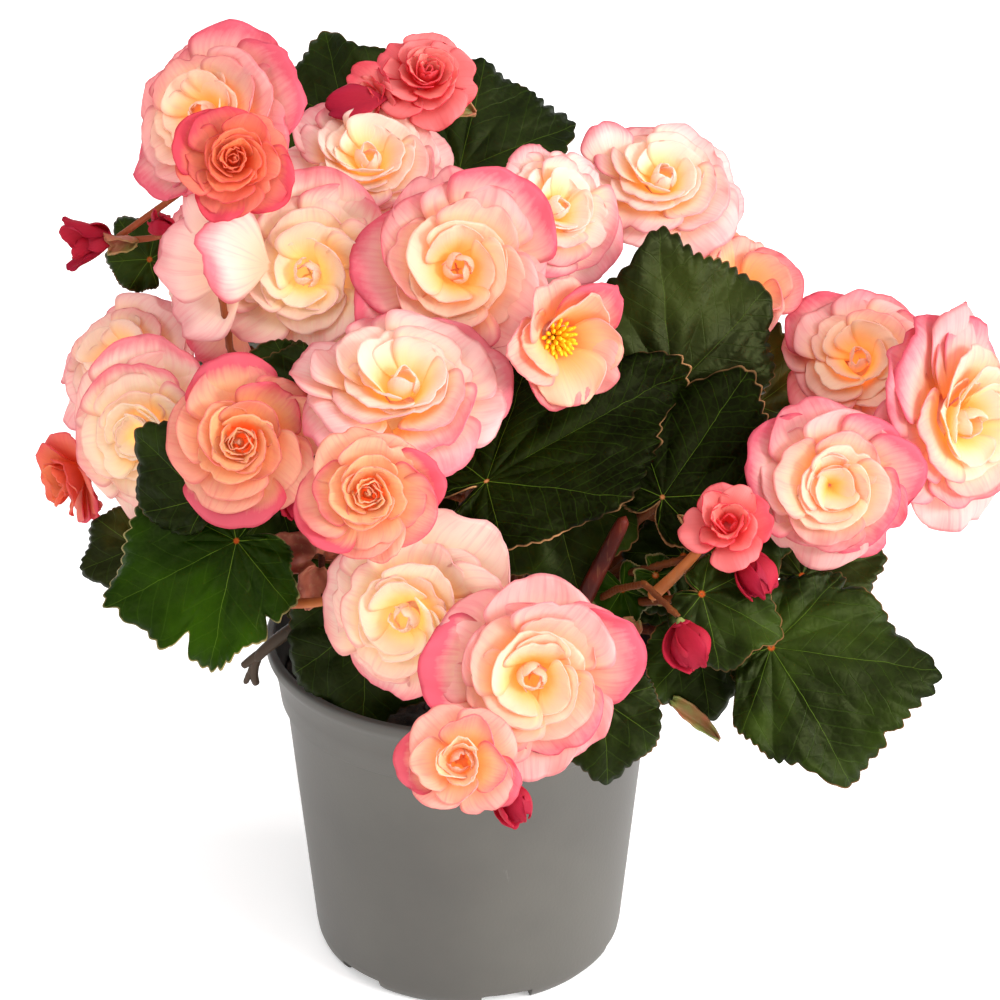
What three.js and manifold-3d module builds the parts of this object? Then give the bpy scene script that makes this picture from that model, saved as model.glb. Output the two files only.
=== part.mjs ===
// A double-flowered begonia in its nursery pot: an assembly of pot, soil, stems, leaves, blooms and buds.
// Millimetres, +Z up. The origin is the middle of the pot's underside, and the plant's front looks along -Y.
import * as THREE from "three";
import { mergeVertices } from "three/addons/utils/BufferGeometryUtils.js";
import Module from "manifold-3d";

const wasm = await Module();
wasm.setup();

// ---------------------------------------------------------------- driving dimensions
const POT_HEIGHT = 113; // a standard 13 cm nursery pot
const LIP_RADIUS = 65;
const LIP_HEIGHT = 3.4;
const COLLAR_BASE_Z = 92; // the flared collar under the lip starts here
const COLLAR_BASE_RADIUS = 60.6;
const BODY_TOP_RADIUS = 58.9;
const BODY_BASE_RADIUS = 50.4;
const WALL = 1.4;
const FOOT_RADIUS = 47.4; // outer edge of the face that the pot stands on
const FOOT_INNER_RADIUS = 44.2;
const CHANNEL_INNER_RADIUS = 29; // a drain channel runs round the underside
const CHANNEL_DEPTH = 3.2;
const FLOOR = 2.2;
const ROUND_STEPS = 28; // flats round the pot and the soil

const NOTCHES = 6; // gaps in the foot that let water out
const NOTCH_WIDTH = 17;
const NOTCH_HEIGHT = 4.6;
const NOTCH_OFFSET = 3.4; // of a notch's middle from the foot's edge
const NOTCH_FIRST_ANGLE = 14.5; // degrees from the front, seen from above, towards +X
const DRAIN_HOLES = 6;
const DRAIN_HOLE_RADIUS = 3.5;

const GAP = 0.3; // between pieces that touch
const SOIL_TOP = 99;
const SOIL_MOUND = 3; // how far the middle stands above the edge
const SOIL_LUMPS = 1.6;

const PETAL_THICKNESS = 0.8;
const SMALL_PETAL_THICKNESS = 0.62; // of blooms under 45 mm across
const SMALL_BLOOM = 45;
const LEAF_THICKNESS = 0.9;
const LARGE_LEAF = 36;
const LARGE_LEAF_POINTS = 26; // round a leaf's edge: every second one is the tip of a tooth
const SMALL_LEAF_POINTS = 18;
const TOOTH = 0.07; // how far a tooth stands out, as a share of the leaf's reach

const STEM_SIDES = 5;
const STALK_SIDES = 4;
const STEM_STEPS = 9;
const STALK_STEPS = 4;
const STEM_FOOT = 88; // the stems stand this far up in holes in the soil
const BLOOM_LEANS = [0, 30, 55, -30]; // degrees that a stalk may lean as it arrives
const LEAF_LEANS = [40, 10, 65];
// how far a stalk may bow, and to how many sides
const STALK_SWINGS = [[0, 1], [10, 8], [20, 8], [30, 8], [45, 8], [60, 8]];
// how far before its end a stalk straightens, as shares of its length
const STALK_REACHES = [0.3, 0.18, 0.45];
const CLEARANCE = 0.4; // of a stalk from the pieces it passes
const FLOWER_STALK_RADIUS = 1.6;
const LEAF_STALK_RADIUS = 1.9;

const PETAL_ROWS = [0.55, 1]; // where a petal's cross rows stand, as shares of its length
const ROOT_SHARE = 0.7; // of a heart's ring that the roots of its petals take up
const BLOOM_FOOT = 0.1; // how far a bloom's foot reaches behind its petals, as a share of its width
const ROOT_WIDTH = 0.06; // of a petal, as a share of its full width
const NEARLY_FLAT = 1e-5; // least curvature of a petal, per mm

const DEG = Math.PI / 180;
const { clamp } = THREE.MathUtils;
const vec = (xyz) => new THREE.Vector3(...xyz);

// ---------------------------------------------------------------- materials
const finish = (color, roughness) => new THREE.MeshStandardMaterial({ color, roughness, metalness: 0 });
const MATERIALS = {
  pot: finish(0x7d7a74, 0.55),
  soil: finish(0x1d1713, 1.0),
  stem: finish(0x7a4329, 0.5),
  leaf: finish(0x24401c, 0.4),
  petal: finish(0xf7b79c, 0.6),
  bud: finish(0xe0405a, 0.6),
};

// ---------------------------------------------------------------- solids
// A closed three.js geometry as a solid that can be joined and cut.
function solidOf(geometry) {
  const bare = geometry.clone();
  bare.deleteAttribute("normal");
  bare.deleteAttribute("uv");
  const merged = mergeVertices(bare, 1e-4);
  const vertProperties = merged.attributes.position.array;
  const triVerts = new Uint32Array(merged.index.array);
  return new wasm.Manifold(new wasm.Mesh({ numProp: 3, vertProperties, triVerts }));
}

// A solid as a named mesh.
function meshOf(name, solid, material) {
  const { vertProperties, triVerts } = solid.getMesh();
  const geometry = new THREE.BufferGeometry();
  geometry.setAttribute("position", new THREE.BufferAttribute(vertProperties.slice(), 3));
  geometry.setIndex(new THREE.BufferAttribute(triVerts.slice(), 1));
  geometry.computeVertexNormals();
  const mesh = new THREE.Mesh(geometry, material);
  mesh.name = name;
  return mesh;
}

const joined = (solids) => solids.reduce((whole, next) => whole.add(next));
const turned = (geometry, angle) => solidOf(geometry.rotateZ(angle * DEG));

// A repeatable stream of numbers from 0 to 1.
function seeded(seed) {
  let state = seed >>> 0;
  return () => {
    state = (Math.imul(state, 1664525) + 1013904223) >>> 0;
    return state / 4294967296;
  };
}

// A thin closed sheet. Points and triangles are alike on both faces, so a waved sheet never crosses itself.
// Each triangle lists three points by number, and the rim lists the points round the edge in order.
function sheetGeometry(points, normals, triangles, rim, thickness) {
  const count = points.length;
  const positions = new Float32Array(count * 6);
  points.forEach((point, i) => {
    const half = normals[i].clone().multiplyScalar(thickness / 2);
    point.clone().add(half).toArray(positions, i * 3);
    point.clone().sub(half).toArray(positions, (count + i) * 3);
  });
  const index = [];
  for (const [a, b, c] of triangles) index.push(a, b, c, count + a, count + c, count + b);
  rim.forEach((a, k) => {
    const b = rim[(k + 1) % rim.length];
    index.push(a, count + a, b, b, count + a, count + b);
  });
  const geometry = new THREE.BufferGeometry();
  geometry.setAttribute("position", new THREE.BufferAttribute(positions, 3));
  geometry.setIndex(index);
  return geometry;
}

// The normal of surface(u, v) by small steps.
function normalAt(surface, u, v) {
  const step = 1e-3;
  const along = surface(u, v + step).sub(surface(u, v - step));
  const across = surface(u + step, v).sub(surface(u - step, v));
  return across.cross(along).normalize();
}

// Axes for a piece whose local +Z looks along `faces`, with local +Y as near to `up` as it can be.
function frameFacing(at, faces, up = [0, 0, 1]) {
  const z = vec(faces).normalize();
  const x = vec(up).cross(z).normalize();
  const y = z.clone().cross(x);
  return new THREE.Matrix4().makeBasis(x, y, z).setPosition(vec(at));
}

// ---------------------------------------------------------------- pot and soil
// The profile runs up the outside and down the inside, from axis to axis.
const innerFloor = [
  [BODY_BASE_RADIUS - WALL - 0.6, CHANNEL_DEPTH + FLOOR + 1.2],
  [FOOT_INNER_RADIUS, CHANNEL_DEPTH + FLOOR],
  [CHANNEL_INNER_RADIUS - 1, CHANNEL_DEPTH + FLOOR],
  [CHANNEL_INNER_RADIUS - 3, FLOOR],
];

function lathe(profile, steps) {
  const points = profile.map(([radius, z]) => new THREE.Vector2(radius, z));
  return new THREE.LatheGeometry(points, steps).rotateX(90 * DEG);
}

function buildPot() {
  const outside = [
    [0, 0],
    [CHANNEL_INNER_RADIUS, 0],
    [CHANNEL_INNER_RADIUS + 1.5, CHANNEL_DEPTH],
    [FOOT_INNER_RADIUS - 1.5, CHANNEL_DEPTH],
    [FOOT_INNER_RADIUS, 0],
    [FOOT_RADIUS, 0],
    [BODY_BASE_RADIUS - 0.3, 2.8],
    [BODY_BASE_RADIUS + 0.4, 7],
    [BODY_TOP_RADIUS, COLLAR_BASE_Z - 1],
    [COLLAR_BASE_RADIUS, COLLAR_BASE_Z],
    [COLLAR_BASE_RADIUS + 1, COLLAR_BASE_Z + 8],
    [LIP_RADIUS - 1.4, POT_HEIGHT - LIP_HEIGHT - 1.6],
    [LIP_RADIUS, POT_HEIGHT - LIP_HEIGHT],
    [LIP_RADIUS, POT_HEIGHT - 1],
    [LIP_RADIUS - 0.9, POT_HEIGHT],
  ];
  const inside = [
    [LIP_RADIUS - 2.6, POT_HEIGHT],
    [LIP_RADIUS - 3.2, POT_HEIGHT - 1.2],
    [COLLAR_BASE_RADIUS - WALL, COLLAR_BASE_Z + 6],
    [BODY_TOP_RADIUS - WALL, COLLAR_BASE_Z - 2],
    ...innerFloor,
    [0, FLOOR],
  ];
  let pot = solidOf(lathe([...outside, ...inside], ROUND_STEPS));
  const notch = new THREE.BoxGeometry(NOTCH_WIDTH, 14, 2 * NOTCH_HEIGHT);
  const hole = new THREE.CylinderGeometry(DRAIN_HOLE_RADIUS, DRAIN_HOLE_RADIUS, 20, 10).rotateX(90 * DEG);
  const holeRing = (CHANNEL_INNER_RADIUS + FOOT_INNER_RADIUS) / 2;
  for (let i = 0; i < NOTCHES; i++) {
    const angle = NOTCH_FIRST_ANGLE + (360 * i) / NOTCHES;
    pot = pot.subtract(turned(notch.clone().translate(0, -FOOT_RADIUS - NOTCH_OFFSET, 0), angle));
  }
  for (let i = 0; i < DRAIN_HOLES; i++) {
    const angle = NOTCH_FIRST_ANGLE + (360 * (i + 0.5)) / DRAIN_HOLES;
    pot = pot.subtract(turned(hole.clone().translate(0, -holeRing, 0), angle));
  }
  return pot;
}

function buildSoil() {
  const upCollar = (SOIL_TOP - COLLAR_BASE_Z + 2) / 8;
  const edge = BODY_TOP_RADIUS - WALL + upCollar * (COLLAR_BASE_RADIUS - BODY_TOP_RADIUS);
  const top = [
    [edge - GAP, SOIL_TOP],
    [edge * 0.72, SOIL_TOP + SOIL_MOUND * 0.5],
    [edge * 0.38, SOIL_TOP + SOIL_MOUND * 0.9],
    [0, SOIL_TOP + SOIL_MOUND],
  ];
  const below = innerFloor.map(([radius, z]) => [radius - GAP - 0.2, z + GAP + 0.1]).reverse();
  const wall = [[BODY_TOP_RADIUS - WALL - GAP, COLLAR_BASE_Z - 2]];
  const geometry = lathe([[0, FLOOR + GAP], ...below, ...wall, ...top], ROUND_STEPS);
  const random = seeded(7);
  const lumps = Array.from({ length: 24 }, () => [random() * 6.28, random() * 0.16 + 0.05, random() * 6.28]);
  const position = geometry.attributes.position;
  for (let i = 0; i < position.count; i++) {
    const [x, y, z] = [position.getX(i), position.getY(i), position.getZ(i)];
    if (z <= SOIL_TOP || Math.hypot(x, y) > edge - 2) continue;
    const wave = lumps.reduce((sum, [way, rate, start]) => {
      return sum + Math.sin((x * Math.cos(way) + y * Math.sin(way)) * rate * 3 + start);
    }, 0);
    position.setZ(i, z + (SOIL_LUMPS * wave) / 8);
  }
  return STEMS.reduce((soil, { radius, axis }) => {
    const hole = new THREE.CylinderGeometry(radius + 0.7, radius + 0.7, 40, 8).rotateX(90 * DEG);
    const [x, y] = axis[0];
    return soil.subtract(solidOf(hole.translate(x, y, STEM_FOOT - GAP + 20)));
  }, solidOf(geometry));
}

// ---------------------------------------------------------------- petals and blooms
// One petal, in a frame where +Z is the way the bloom faces. t runs across from -1 to 1, v from root to tip.
// The roots stand on a circle of radius `ring`, `rise` above the bloom's own origin. `from` and `to` are the
// angles off the axis at root and tip. `hug` wraps the petal round the axis, `slant` lifts one edge over the
// next petal, and `wave` ruffles the far edge.
function petalPoint({ length, width, ring, rise, from, to, hug, slant, wave, phase, turn }, t, v) {
  const s = v * (1 - 0.24 * Math.abs(t) ** 2.2);
  const start = from * DEG;
  const bend = (to - from) * DEG;
  const angle = start + bend * s;
  const out = ring + (length * (Math.cos(start) - Math.cos(angle))) / bend;
  const up = rise + (length * (Math.sin(angle) - Math.sin(start))) / bend;
  const widening = Math.sin(clamp(1.25 * v, 0, 1) * 90 * DEG) ** 1.4;
  const half = (width / 2) * (ROOT_WIDTH + (1 - ROOT_WIDTH) * widening);
  const curve = (hug * Math.cos(angle)) / out + NEARLY_FLAT;
  const curl = clamp(t * half * curve, -1.5, 1.5);
  const ripple = wave * length * v * v * Math.sin(4.2 * t + phase);
  const lift = (1 - Math.cos(curl)) / curve + ripple + t * half * Math.tan(slant * DEG);
  const [x, y, z] = [out - Math.cos(angle) * lift, Math.sin(curl) / curve, up + Math.sin(angle) * lift];
  return new THREE.Vector3(x, y, z).applyAxisAngle(new THREE.Vector3(0, 0, 1), turn);
}

// Points and triangles of one closed surface, gathered piece by piece.
class Surface {
  points = [];
  index = [];
  add(point) {
    return this.points.push(point) - 1;
  }
  triangle(a, b, c) {
    this.index.push(a, b, c);
  }
  quad(a, b, c, d) {
    this.index.push(a, b, c, a, c, d);
  }
  geometry() {
    const places = new THREE.Float32BufferAttribute(this.points.flatMap((point) => point.toArray()), 3);
    return new THREE.BufferGeometry().setAttribute("position", places).setIndex(this.index);
  }
}

// A ring of the heart, with a left and a right point for the root of every petal.
function heartRing(surface, petals, side) {
  return petals.map((petal) => {
    const spread = (ROOT_SHARE * Math.PI) / petals.length;
    const [left, right] = [petal.turn - spread, petal.turn + spread].map((angle) => {
      const [x, y] = [petal.ring * Math.cos(angle), petal.ring * Math.sin(angle)];
      const z = petal.rise + (side * petal.thickness) / 2;
      return { id: surface.add(new THREE.Vector3(x, y, z)), angle };
    });
    return { left, right };
  });
}

// One petal grows out of the facet between its lower and its upper root points. Each row across it has a
// left, a middle and a right point, on the inner and on the outer face.
function growPetal(surface, petal, lower, upper) {
  const shape = (t, v) => petalPoint(petal, t, v);
  const rows = PETAL_ROWS.map((v) =>
    [-1, 0, 1].map((t) => {
      const half = normalAt(shape, t, v).multiplyScalar(petal.thickness / 2);
      return { inner: surface.add(shape(t, v).sub(half)), outer: surface.add(shape(t, v).add(half)) };
    }),
  );
  const face = (side, rootLeft, rootRight, put) => {
    const [left, middle, right] = rows[0].map((point) => point[side]);
    put(rootLeft, left, middle);
    put(rootLeft, middle, rootRight);
    put(rootRight, middle, right);
    for (let row = 1; row < rows.length; row++) {
      const [l, m, r] = rows[row - 1].map((point) => point[side]);
      const [farL, farM, farR] = rows[row].map((point) => point[side]);
      put(l, farL, m);
      put(m, farL, farM);
      put(m, farM, farR);
      put(m, farR, r);
    }
  };
  face("inner", upper.left.id, upper.right.id, (a, b, c) => surface.triangle(a, b, c));
  face("outer", lower.left.id, lower.right.id, (a, b, c) => surface.triangle(a, c, b));
  const root = [
    { outer: lower.left.id, inner: upper.left.id },
    null,
    { outer: lower.right.id, inner: upper.right.id },
  ];
  [root, ...rows].slice(0, -1).forEach((row, i) => {
    const far = rows[i];
    surface.quad(row[0].outer, far[0].outer, far[0].inner, row[0].inner);
    surface.quad(row[2].outer, row[2].inner, far[2].inner, far[2].outer);
  });
  const tip = rows[rows.length - 1];
  for (let i = 0; i < 2; i++) surface.quad(tip[i].outer, tip[i + 1].outer, tip[i + 1].inner, tip[i].inner);
}

// A band of triangles between two rings with different numbers of points.
function bridge(surface, below, above) {
  const around = (ring) => ring.flatMap(({ left, right }) => [left, right]);
  const [low, high] = [around(below), around(above)];
  const turn = 2 * Math.PI;
  const offset = (angle) => THREE.MathUtils.euclideanModulo(angle - low[0].angle, turn);
  const offsets = high.map((point) => offset(point.angle));
  const first = offsets.indexOf(Math.min(...offsets));
  const lowAt = (i) => (i < low.length ? low[i].angle - low[0].angle : turn);
  const highAt = (j) => (j < high.length ? offset(high[(first + j) % high.length].angle) : turn + 1e-6);
  const highId = (j) => high[(first + j + high.length - 1) % high.length].id;
  let [i, j] = [0, 0];
  while (i < low.length || j < high.length) {
    if (j < high.length && (i >= low.length || highAt(j) < lowAt(i + 1))) {
      surface.triangle(low[i % low.length].id, highId(j + 1), highId(j));
      j++;
    } else {
      surface.triangle(low[i % low.length].id, low[(i + 1) % low.length].id, highId(j));
      i++;
    }
  }
}

// A whole bloom as one closed surface: a pointed foot, layers of petals round the heart, and its tip.
function bloomGeometry(layers, foot, tip) {
  const surface = new Surface();
  let below = null;
  for (const petals of layers) {
    const lower = heartRing(surface, petals, -1);
    const upper = heartRing(surface, petals, 1);
    if (below) bridge(surface, below, lower);
    else capRing(surface, lower, surface.add(new THREE.Vector3(0, 0, foot)), true);
    petals.forEach((petal, i) => {
      const next = (i + 1) % petals.length;
      growPetal(surface, petal, lower[i], upper[i]);
      surface.quad(lower[i].right.id, lower[next].left.id, upper[next].left.id, upper[i].right.id);
    });
    below = upper;
  }
  capRing(surface, below, surface.add(new THREE.Vector3(0, 0, tip)), false);
  return surface.geometry();
}

function capRing(surface, ring, apex, downward) {
  const ids = ring.flatMap(({ left, right }) => [left.id, right.id]);
  ids.forEach((a, i) => {
    const b = ids[(i + 1) % ids.length];
    if (downward) surface.triangle(apex, b, a);
    else surface.triangle(a, b, apex);
  });
}

// Each form has the tip of its heart and its layers of petals, from the outside in, as shares of the width.
const OUTER = {
  petals: 5, length: 0.47, width: 0.6, ring: 0.084, rise: 0.01,
  slant: 12, wave: 0.03, hug: 0.9,
};
const MIDDLE = {
  petals: 4, length: 0.34, width: 0.46, ring: 0.077, rise: 0.06,
  slant: 12, wave: 0, hug: 0.9,
};
const INNER = {
  petals: 3, length: 0.24, width: 0.26, ring: 0.063, rise: 0.11,
  slant: 10, wave: 0, hug: 0.6,
};
const FORMS = {
  open: {
    tip: 0.17,
    layers: [
      { ...OUTER, from: 62, to: 98 },
      { ...MIDDLE, from: 42, to: 76 },
      { ...INNER, from: 14, to: 46 },
    ],
  },
  rose: {
    tip: 0.3,
    layers: [
      { ...OUTER, slant: 15, from: 56, to: 92 },
      { ...MIDDLE, slant: 15, from: 26, to: 54 },
      { ...INNER, length: 0.28, width: 0.18, slant: 16, from: 4, to: 10 },
    ],
  },
  small: {
    tip: 0.26,
    layers: [
      { ...OUTER, petals: 4, length: 0.5, from: 52, to: 88 },
      { ...INNER, rise: 0.06, ring: 0.1, length: 0.4, width: 0.24, slant: 16, from: 8, to: 22 },
    ],
  },
  bowl: {
    tip: 0.16,
    layers: [
      { ...OUTER, slant: 14, length: 0.58, width: 0.58, from: 30, to: 62 },
      { ...INNER, rise: 0.06, length: 0.14, width: 0.08, from: 5, to: 30 },
    ],
  },
  bud: {
    tip: 0.7,
    layers: [{ ...INNER, length: 0.95, width: 0.72, ring: 0.22, rise: 0, slant: 26, from: 30, to: -34 }],
  },
};

// name, place of the root, way it faces, width, form, turn of the first petal in degrees
const BLOOMS = [
  ["bloom_top_left", [-74, 20, 281], [-0.5, -0.65, 0.55], 56, "open", 10],
  ["bloom_top_left_rose", [-69, -14, 282], [0.05, -0.85, 0.5], 34, "rose", 40],
  ["bloom_top_red", [-13, 72, 272], [0.1, -0.6, 0.8], 33, "rose", 70],
  ["bloom_top_pale", [-30, 52, 249], [0.05, -0.42, 0.9], 54, "open", 20],
  ["bloom_cream_left", [-47, 10, 235], [-0.12, -0.88, 0.45], 56, "open", 55],
  ["bloom_side_left", [-78, 34, 226], [-0.85, -0.5, 0.15], 46, "open", 15],
  ["bloom_centre", [-3, -4, 241], [0.05, -0.86, 0.5], 61, "open", 30],
  ["bloom_pale_right", [25, 32, 243], [0.45, -0.55, 0.65], 48, "open", 0],
  ["bloom_stamens", [25, -31, 233], [0.4, -0.85, 0.2], 42, "bowl", 35],
  ["bloom_top_right", [62, 60, 238], [0.12, -0.45, 0.88], 52, "open", 5],
  ["bloom_right_cup", [86, 42, 209], [0.25, -0.5, 0.8], 38, "bowl", 60],
  ["bloom_left_back", [-107, 43, 185], [-0.5, -0.4, 0.75], 52, "open", 40],
  ["bloom_left_low", [-97, -8, 189], [-0.4, -0.85, 0.3], 54, "open", 65],
  ["bloom_left_edge", [-122, 14, 164], [-0.8, -0.55, -0.1], 30, "small", 0],
  ["bloom_rose_left", [-67, -46, 206], [-0.02, -0.9, 0.42], 49, "rose", 25],
  ["bloom_cream_centre", [-20, -50, 216], [0.05, -0.32, 0.95], 64, "open", 0],
  ["bloom_rose_front", [-28, -94, 213], [-0.05, -0.9, 0.42], 42, "rose", 50],
  ["bloom_front_left", [-16, -72, 163], [-0.3, -0.9, 0.2], 56, "open", 30],
  ["bloom_front_right", [19, -95, 154], [0.08, -0.95, 0.3], 58, "open", 10],
  ["bloom_front_small", [-1, -117, 136], [-0.1, -0.85, 0.5], 33, "small", 45],
  ["bloom_far_back", [126, 26, 193], [-0.15, -0.6, 0.75], 50, "open", 15],
  ["bloom_far_right", [148, -2, 190], [0.65, -0.72, 0.2], 66, "open", 50],
  ["bloom_far_front", [111, -31, 182], [0.1, -0.92, 0.32], 52, "open", 35],
  ["bloom_coral_right", [79, -57, 180], [-0.1, -0.7, 0.65], 27, "small", 20],
  ["bloom_back_left", [-52, 103, 212], [-0.4, 0.8, 0.45], 56, "open", 0],
  ["bloom_back", [18, 104, 200], [0.1, 0.92, 0.38], 58, "open", 20],
  ["bloom_back_right", [78, 82, 196], [0.5, 0.75, 0.4], 52, "rose", 30],
  ["bud_left_far", [-112, 34, 236], [-0.95, -0.3, 0.02], 18, "bud", 0],
  ["bud_right_low", [64, -79, 160], [0.35, -0.35, -0.85], 17, "bud", 20],
  ["bud_front_left", [-38, -56, 151], [0.6, -0.6, 0.4], 12, "bud", 0],
];

function petalsOf(name, across, form, firstTurn) {
  const random = seeded(name.length * 97 + Math.round(across * 13 + firstTurn));
  return FORMS[form].layers.map((layer, depth) =>
    Array.from({ length: layer.petals }, (_, i) => ({
      ...layer,
      thickness: across < SMALL_BLOOM ? SMALL_PETAL_THICKNESS : PETAL_THICKNESS,
      length: layer.length * across * (0.95 + 0.1 * random()),
      width: layer.width * across * (0.94 + 0.12 * random()),
      ring: layer.ring * across,
      rise: layer.rise * across,
      from: layer.from + 2 * random() - 1,
      to: layer.to + 5 * random() - 2.5,
      phase: 6.28 * random(),
      turn: (firstTurn + 37 * depth + (360 * i) / layer.petals + 8 * random() - 4) * DEG,
    })),
  );
}

function buildBloom([name, at, faces, across, form, firstTurn]) {
  const petals = petalsOf(name, across, form, firstTurn);
  const bloom = solidOf(bloomGeometry(petals, -BLOOM_FOOT * across, FORMS[form].tip * across));
  return bloom.transform(frameFacing(at, faces).elements);
}

// ---------------------------------------------------------------- leaves
// How far a leaf reaches from its stalk at an angle off the tip: a lopsided heart with a cleft behind.
function leafReach(angle, { length, back, side }) {
  const cleft = 1 - 0.75 * Math.exp(-(((Math.PI - Math.abs(angle)) / 0.3) ** 2));
  const heart = 0.93 - ((1 - back) * (1 - Math.cos(angle))) / 2 + 0.07 * Math.exp(-((angle / 0.3) ** 2));
  const lobes = 1 + 0.05 * Math.cos(7 * angle);
  return length * heart * cleft * (1 + side * Math.sin(angle)) * lobes;
}

// A point of the blade in the leaf's frame: +Y to the tip, +Z the upper face, the stalk at the origin.
function leafPoint(leaf, angle, share) {
  const reach = leafReach(angle, leaf) * share;
  const out = reach / leaf.length;
  const droop = -leaf.droop * out * out;
  const wave = leaf.wave * out ** 3 * Math.sin(leaf.waves * angle + leaf.phase);
  const across = leaf.width * reach * Math.sin(angle);
  return new THREE.Vector3(across, reach * Math.cos(angle), leaf.length * (droop + wave));
}

function leafGeometry(leaf) {
  const points = [new THREE.Vector3()];
  const normals = [new THREE.Vector3(0, 0, 1)];
  const triangles = [];
  const edgePoints = leaf.length > LARGE_LEAF ? LARGE_LEAF_POINTS : SMALL_LEAF_POINTS;
  const inner = edgePoints / 2;
  const surface = (angle, share) => leafPoint(leaf, angle, share);
  const add = (angle, share, stretch) => {
    const point = surface(angle, share);
    points.push(new THREE.Vector3(point.x * stretch, point.y * stretch, point.z));
    const normal = normalAt(surface, angle, share);
    normals.push(normal.z < 0 ? normal.negate() : normal);
  };
  for (let i = 0; i < inner; i++) add(Math.PI - (2 * Math.PI * i) / inner, 0.5, 1);
  for (let i = 0; i < edgePoints; i++) {
    const angle = Math.PI - (2 * Math.PI * i) / edgePoints;
    add(angle, 1, i === 0 ? 1 : 1 + TOOTH * (i % 2 ? 1 : -1));
  }
  const ring = (i) => 1 + (i % inner);
  const edge = (i) => 1 + inner + (i % edgePoints);
  for (let i = 0; i < inner; i++) {
    triangles.push([0, ring(i + 1), ring(i)]);
    triangles.push([ring(i), edge(2 * i + 1), edge(2 * i)]);
    triangles.push([ring(i), ring(i + 1), edge(2 * i + 1)]);
    triangles.push([ring(i + 1), edge(2 * i + 2), edge(2 * i + 1)]);
  }
  const flipped = triangles.map(([a, b, c]) => [a, c, b]);
  const rim = Array.from({ length: edgePoints }, (_, i) => edge(i));
  return sheetGeometry(points, normals, flipped, rim, LEAF_THICKNESS);
}

// name, place of the stalk's end, way to the tip, way the upper face looks, length, back (its reach behind
// the stalk), side (how lopsided), droop, wave, number of waves, and its width where it isn't 1
const LEAVES = [
  ["leaf_top_left", [-39, 92, 252], [-0.25, 0.2, 0.95], [-0.1, -0.85, 0.5], 29, 0.7, 0, 0.15, 0.08, 5],
  ["leaf_top_right", [-2, 92, 234], [0.85, 0.2, 0.35], [0.05, -0.8, 0.6], 40, 0.5, -0.15, 0.2, 0.1, 4],
  ["leaf_left_small", [-102, 58, 218], [-0.65, 0.1, 0.75], [-0.2, -0.85, 0.5], 17, 0.6, 0, 0.2, 0.06, 5],
  ["leaf_centre_gap", [-51, -18, 207], [-0.75, -0.1, -0.6], [0.1, -0.85, 0.5], 24, 0.6, 0.1, 0.1, 0.05, 5],
  ["leaf_left_round", [-79, -47, 186], [-0.75, -0.1, 0.6], [-0.3, -0.85, 0.4], 29, 0.25, 0.1, 0.12, 0.05, 5],
  ["leaf_left_large", [-70, -50, 173], [-0.85, -0.1, -0.45], [-0.15, -0.75, 0.6],
    43, 0.38, -0.1, 0.1, 0.06, 5],
  ["leaf_left_low", [-103, -20, 155], [-0.85, 0.05, -0.4], [-0.3, -0.8, 0.5], 20, 0.5, 0, 0.15, 0.05, 5],
  ["leaf_centre_large", [6, -48, 192], [0.8, 0.2, 0.55], [0.1, -0.65, 0.75],
    72, 0.3, -0.1, 0.08, 0.05, 6, 0.62],
  ["leaf_right_upper", [64, -4, 201], [-0.02, 0.12, 0.98], [0.25, -0.9, 0.3], 46, 0.45, 0.1, 0.12, 0.07, 5],
  ["leaf_right_behind", [93, 31, 178], [0.2, 0.1, 0.98], [0.3, -0.85, 0.2], 27, 0.4, 0, 0.12, 0.06, 5],
  ["leaf_right_mid", [60, -36, 180], [0.55, 0.2, 0.8], [0.1, -0.75, 0.6], 46, 0.27, 0.15, 0.12, 0.08, 6],
  ["leaf_centre_low", [26, -30, 180], [0.25, -0.35, -0.9], [0, -0.85, 0.5], 32, 0.7, 0, 0.12, 0.07, 5],
  ["leaf_inner", [38, 22, 182], [0.35, -0.2, -0.9], [0.05, -0.85, 0.5], 40, 0.6, 0, 0.12, 0.06, 5],
  ["leaf_right_low", [71, -63, 161], [0.85, -0.1, -0.45], [0.1, -0.75, 0.65], 26, 0.35, 0.1, 0.15, 0.08, 5],
  ["leaf_right_large", [93, -59, 140], [0.97, -0.05, -0.1], [0.1, -0.75, 0.65],
    49, 0.24, 0.2, 0.15, 0.07, 5],
  ["leaf_right_back", [106, -14, 140], [0.9, 0.1, 0.35], [0.1, -0.65, 0.75], 27, 0.5, 0, 0.2, 0.06, 5],
  ["leaf_front_low", [41, -82, 135], [0.05, -0.35, -0.93], [0.05, -0.9, 0.4], 24, 0.55, 0, 0.15, 0.08, 5],
  ["leaf_front_right", [71, -52, 138], [0.15, -0.3, -0.93], [0.1, -0.9, 0.4], 24, 0.5, 0, 0.15, 0.07, 5],
  ["leaf_pot_left", [-31, -38, 138], [-0.05, -0.35, -0.93], [-0.2, -0.9, 0.4], 33, 0.7, 0, 0.1, 0.05, 5],
  ["leaf_back_left", [-72, 66, 184], [-0.75, 0.55, -0.35], [-0.3, 0.5, 0.8], 46, 0.4, 0.1, 0.2, 0.08, 5],
  ["leaf_back", [-4, 90, 172], [0, 0.9, -0.4], [0, 0.45, 0.9], 52, 0.45, -0.1, 0.2, 0.08, 5],
  ["leaf_back_right", [62, 72, 165], [0.6, 0.7, -0.4], [0.3, 0.5, 0.8], 52, 0.5, 0.1, 0.2, 0.08, 5],
  ["leaf_back_low", [32, 72, 136], [0.25, 0.85, -0.45], [0.1, 0.5, 0.85], 44, 0.35, 0, 0.2, 0.08, 5],
];

const leafOf = ([name, at, tip, face, length, back, side, droop, wave, waves, width = 1]) => {
  const phase = (at[0] + at[2]) % 6.28;
  return { name, at, tip, face, length, back, side, droop, wave, waves, width, phase };
};

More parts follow.
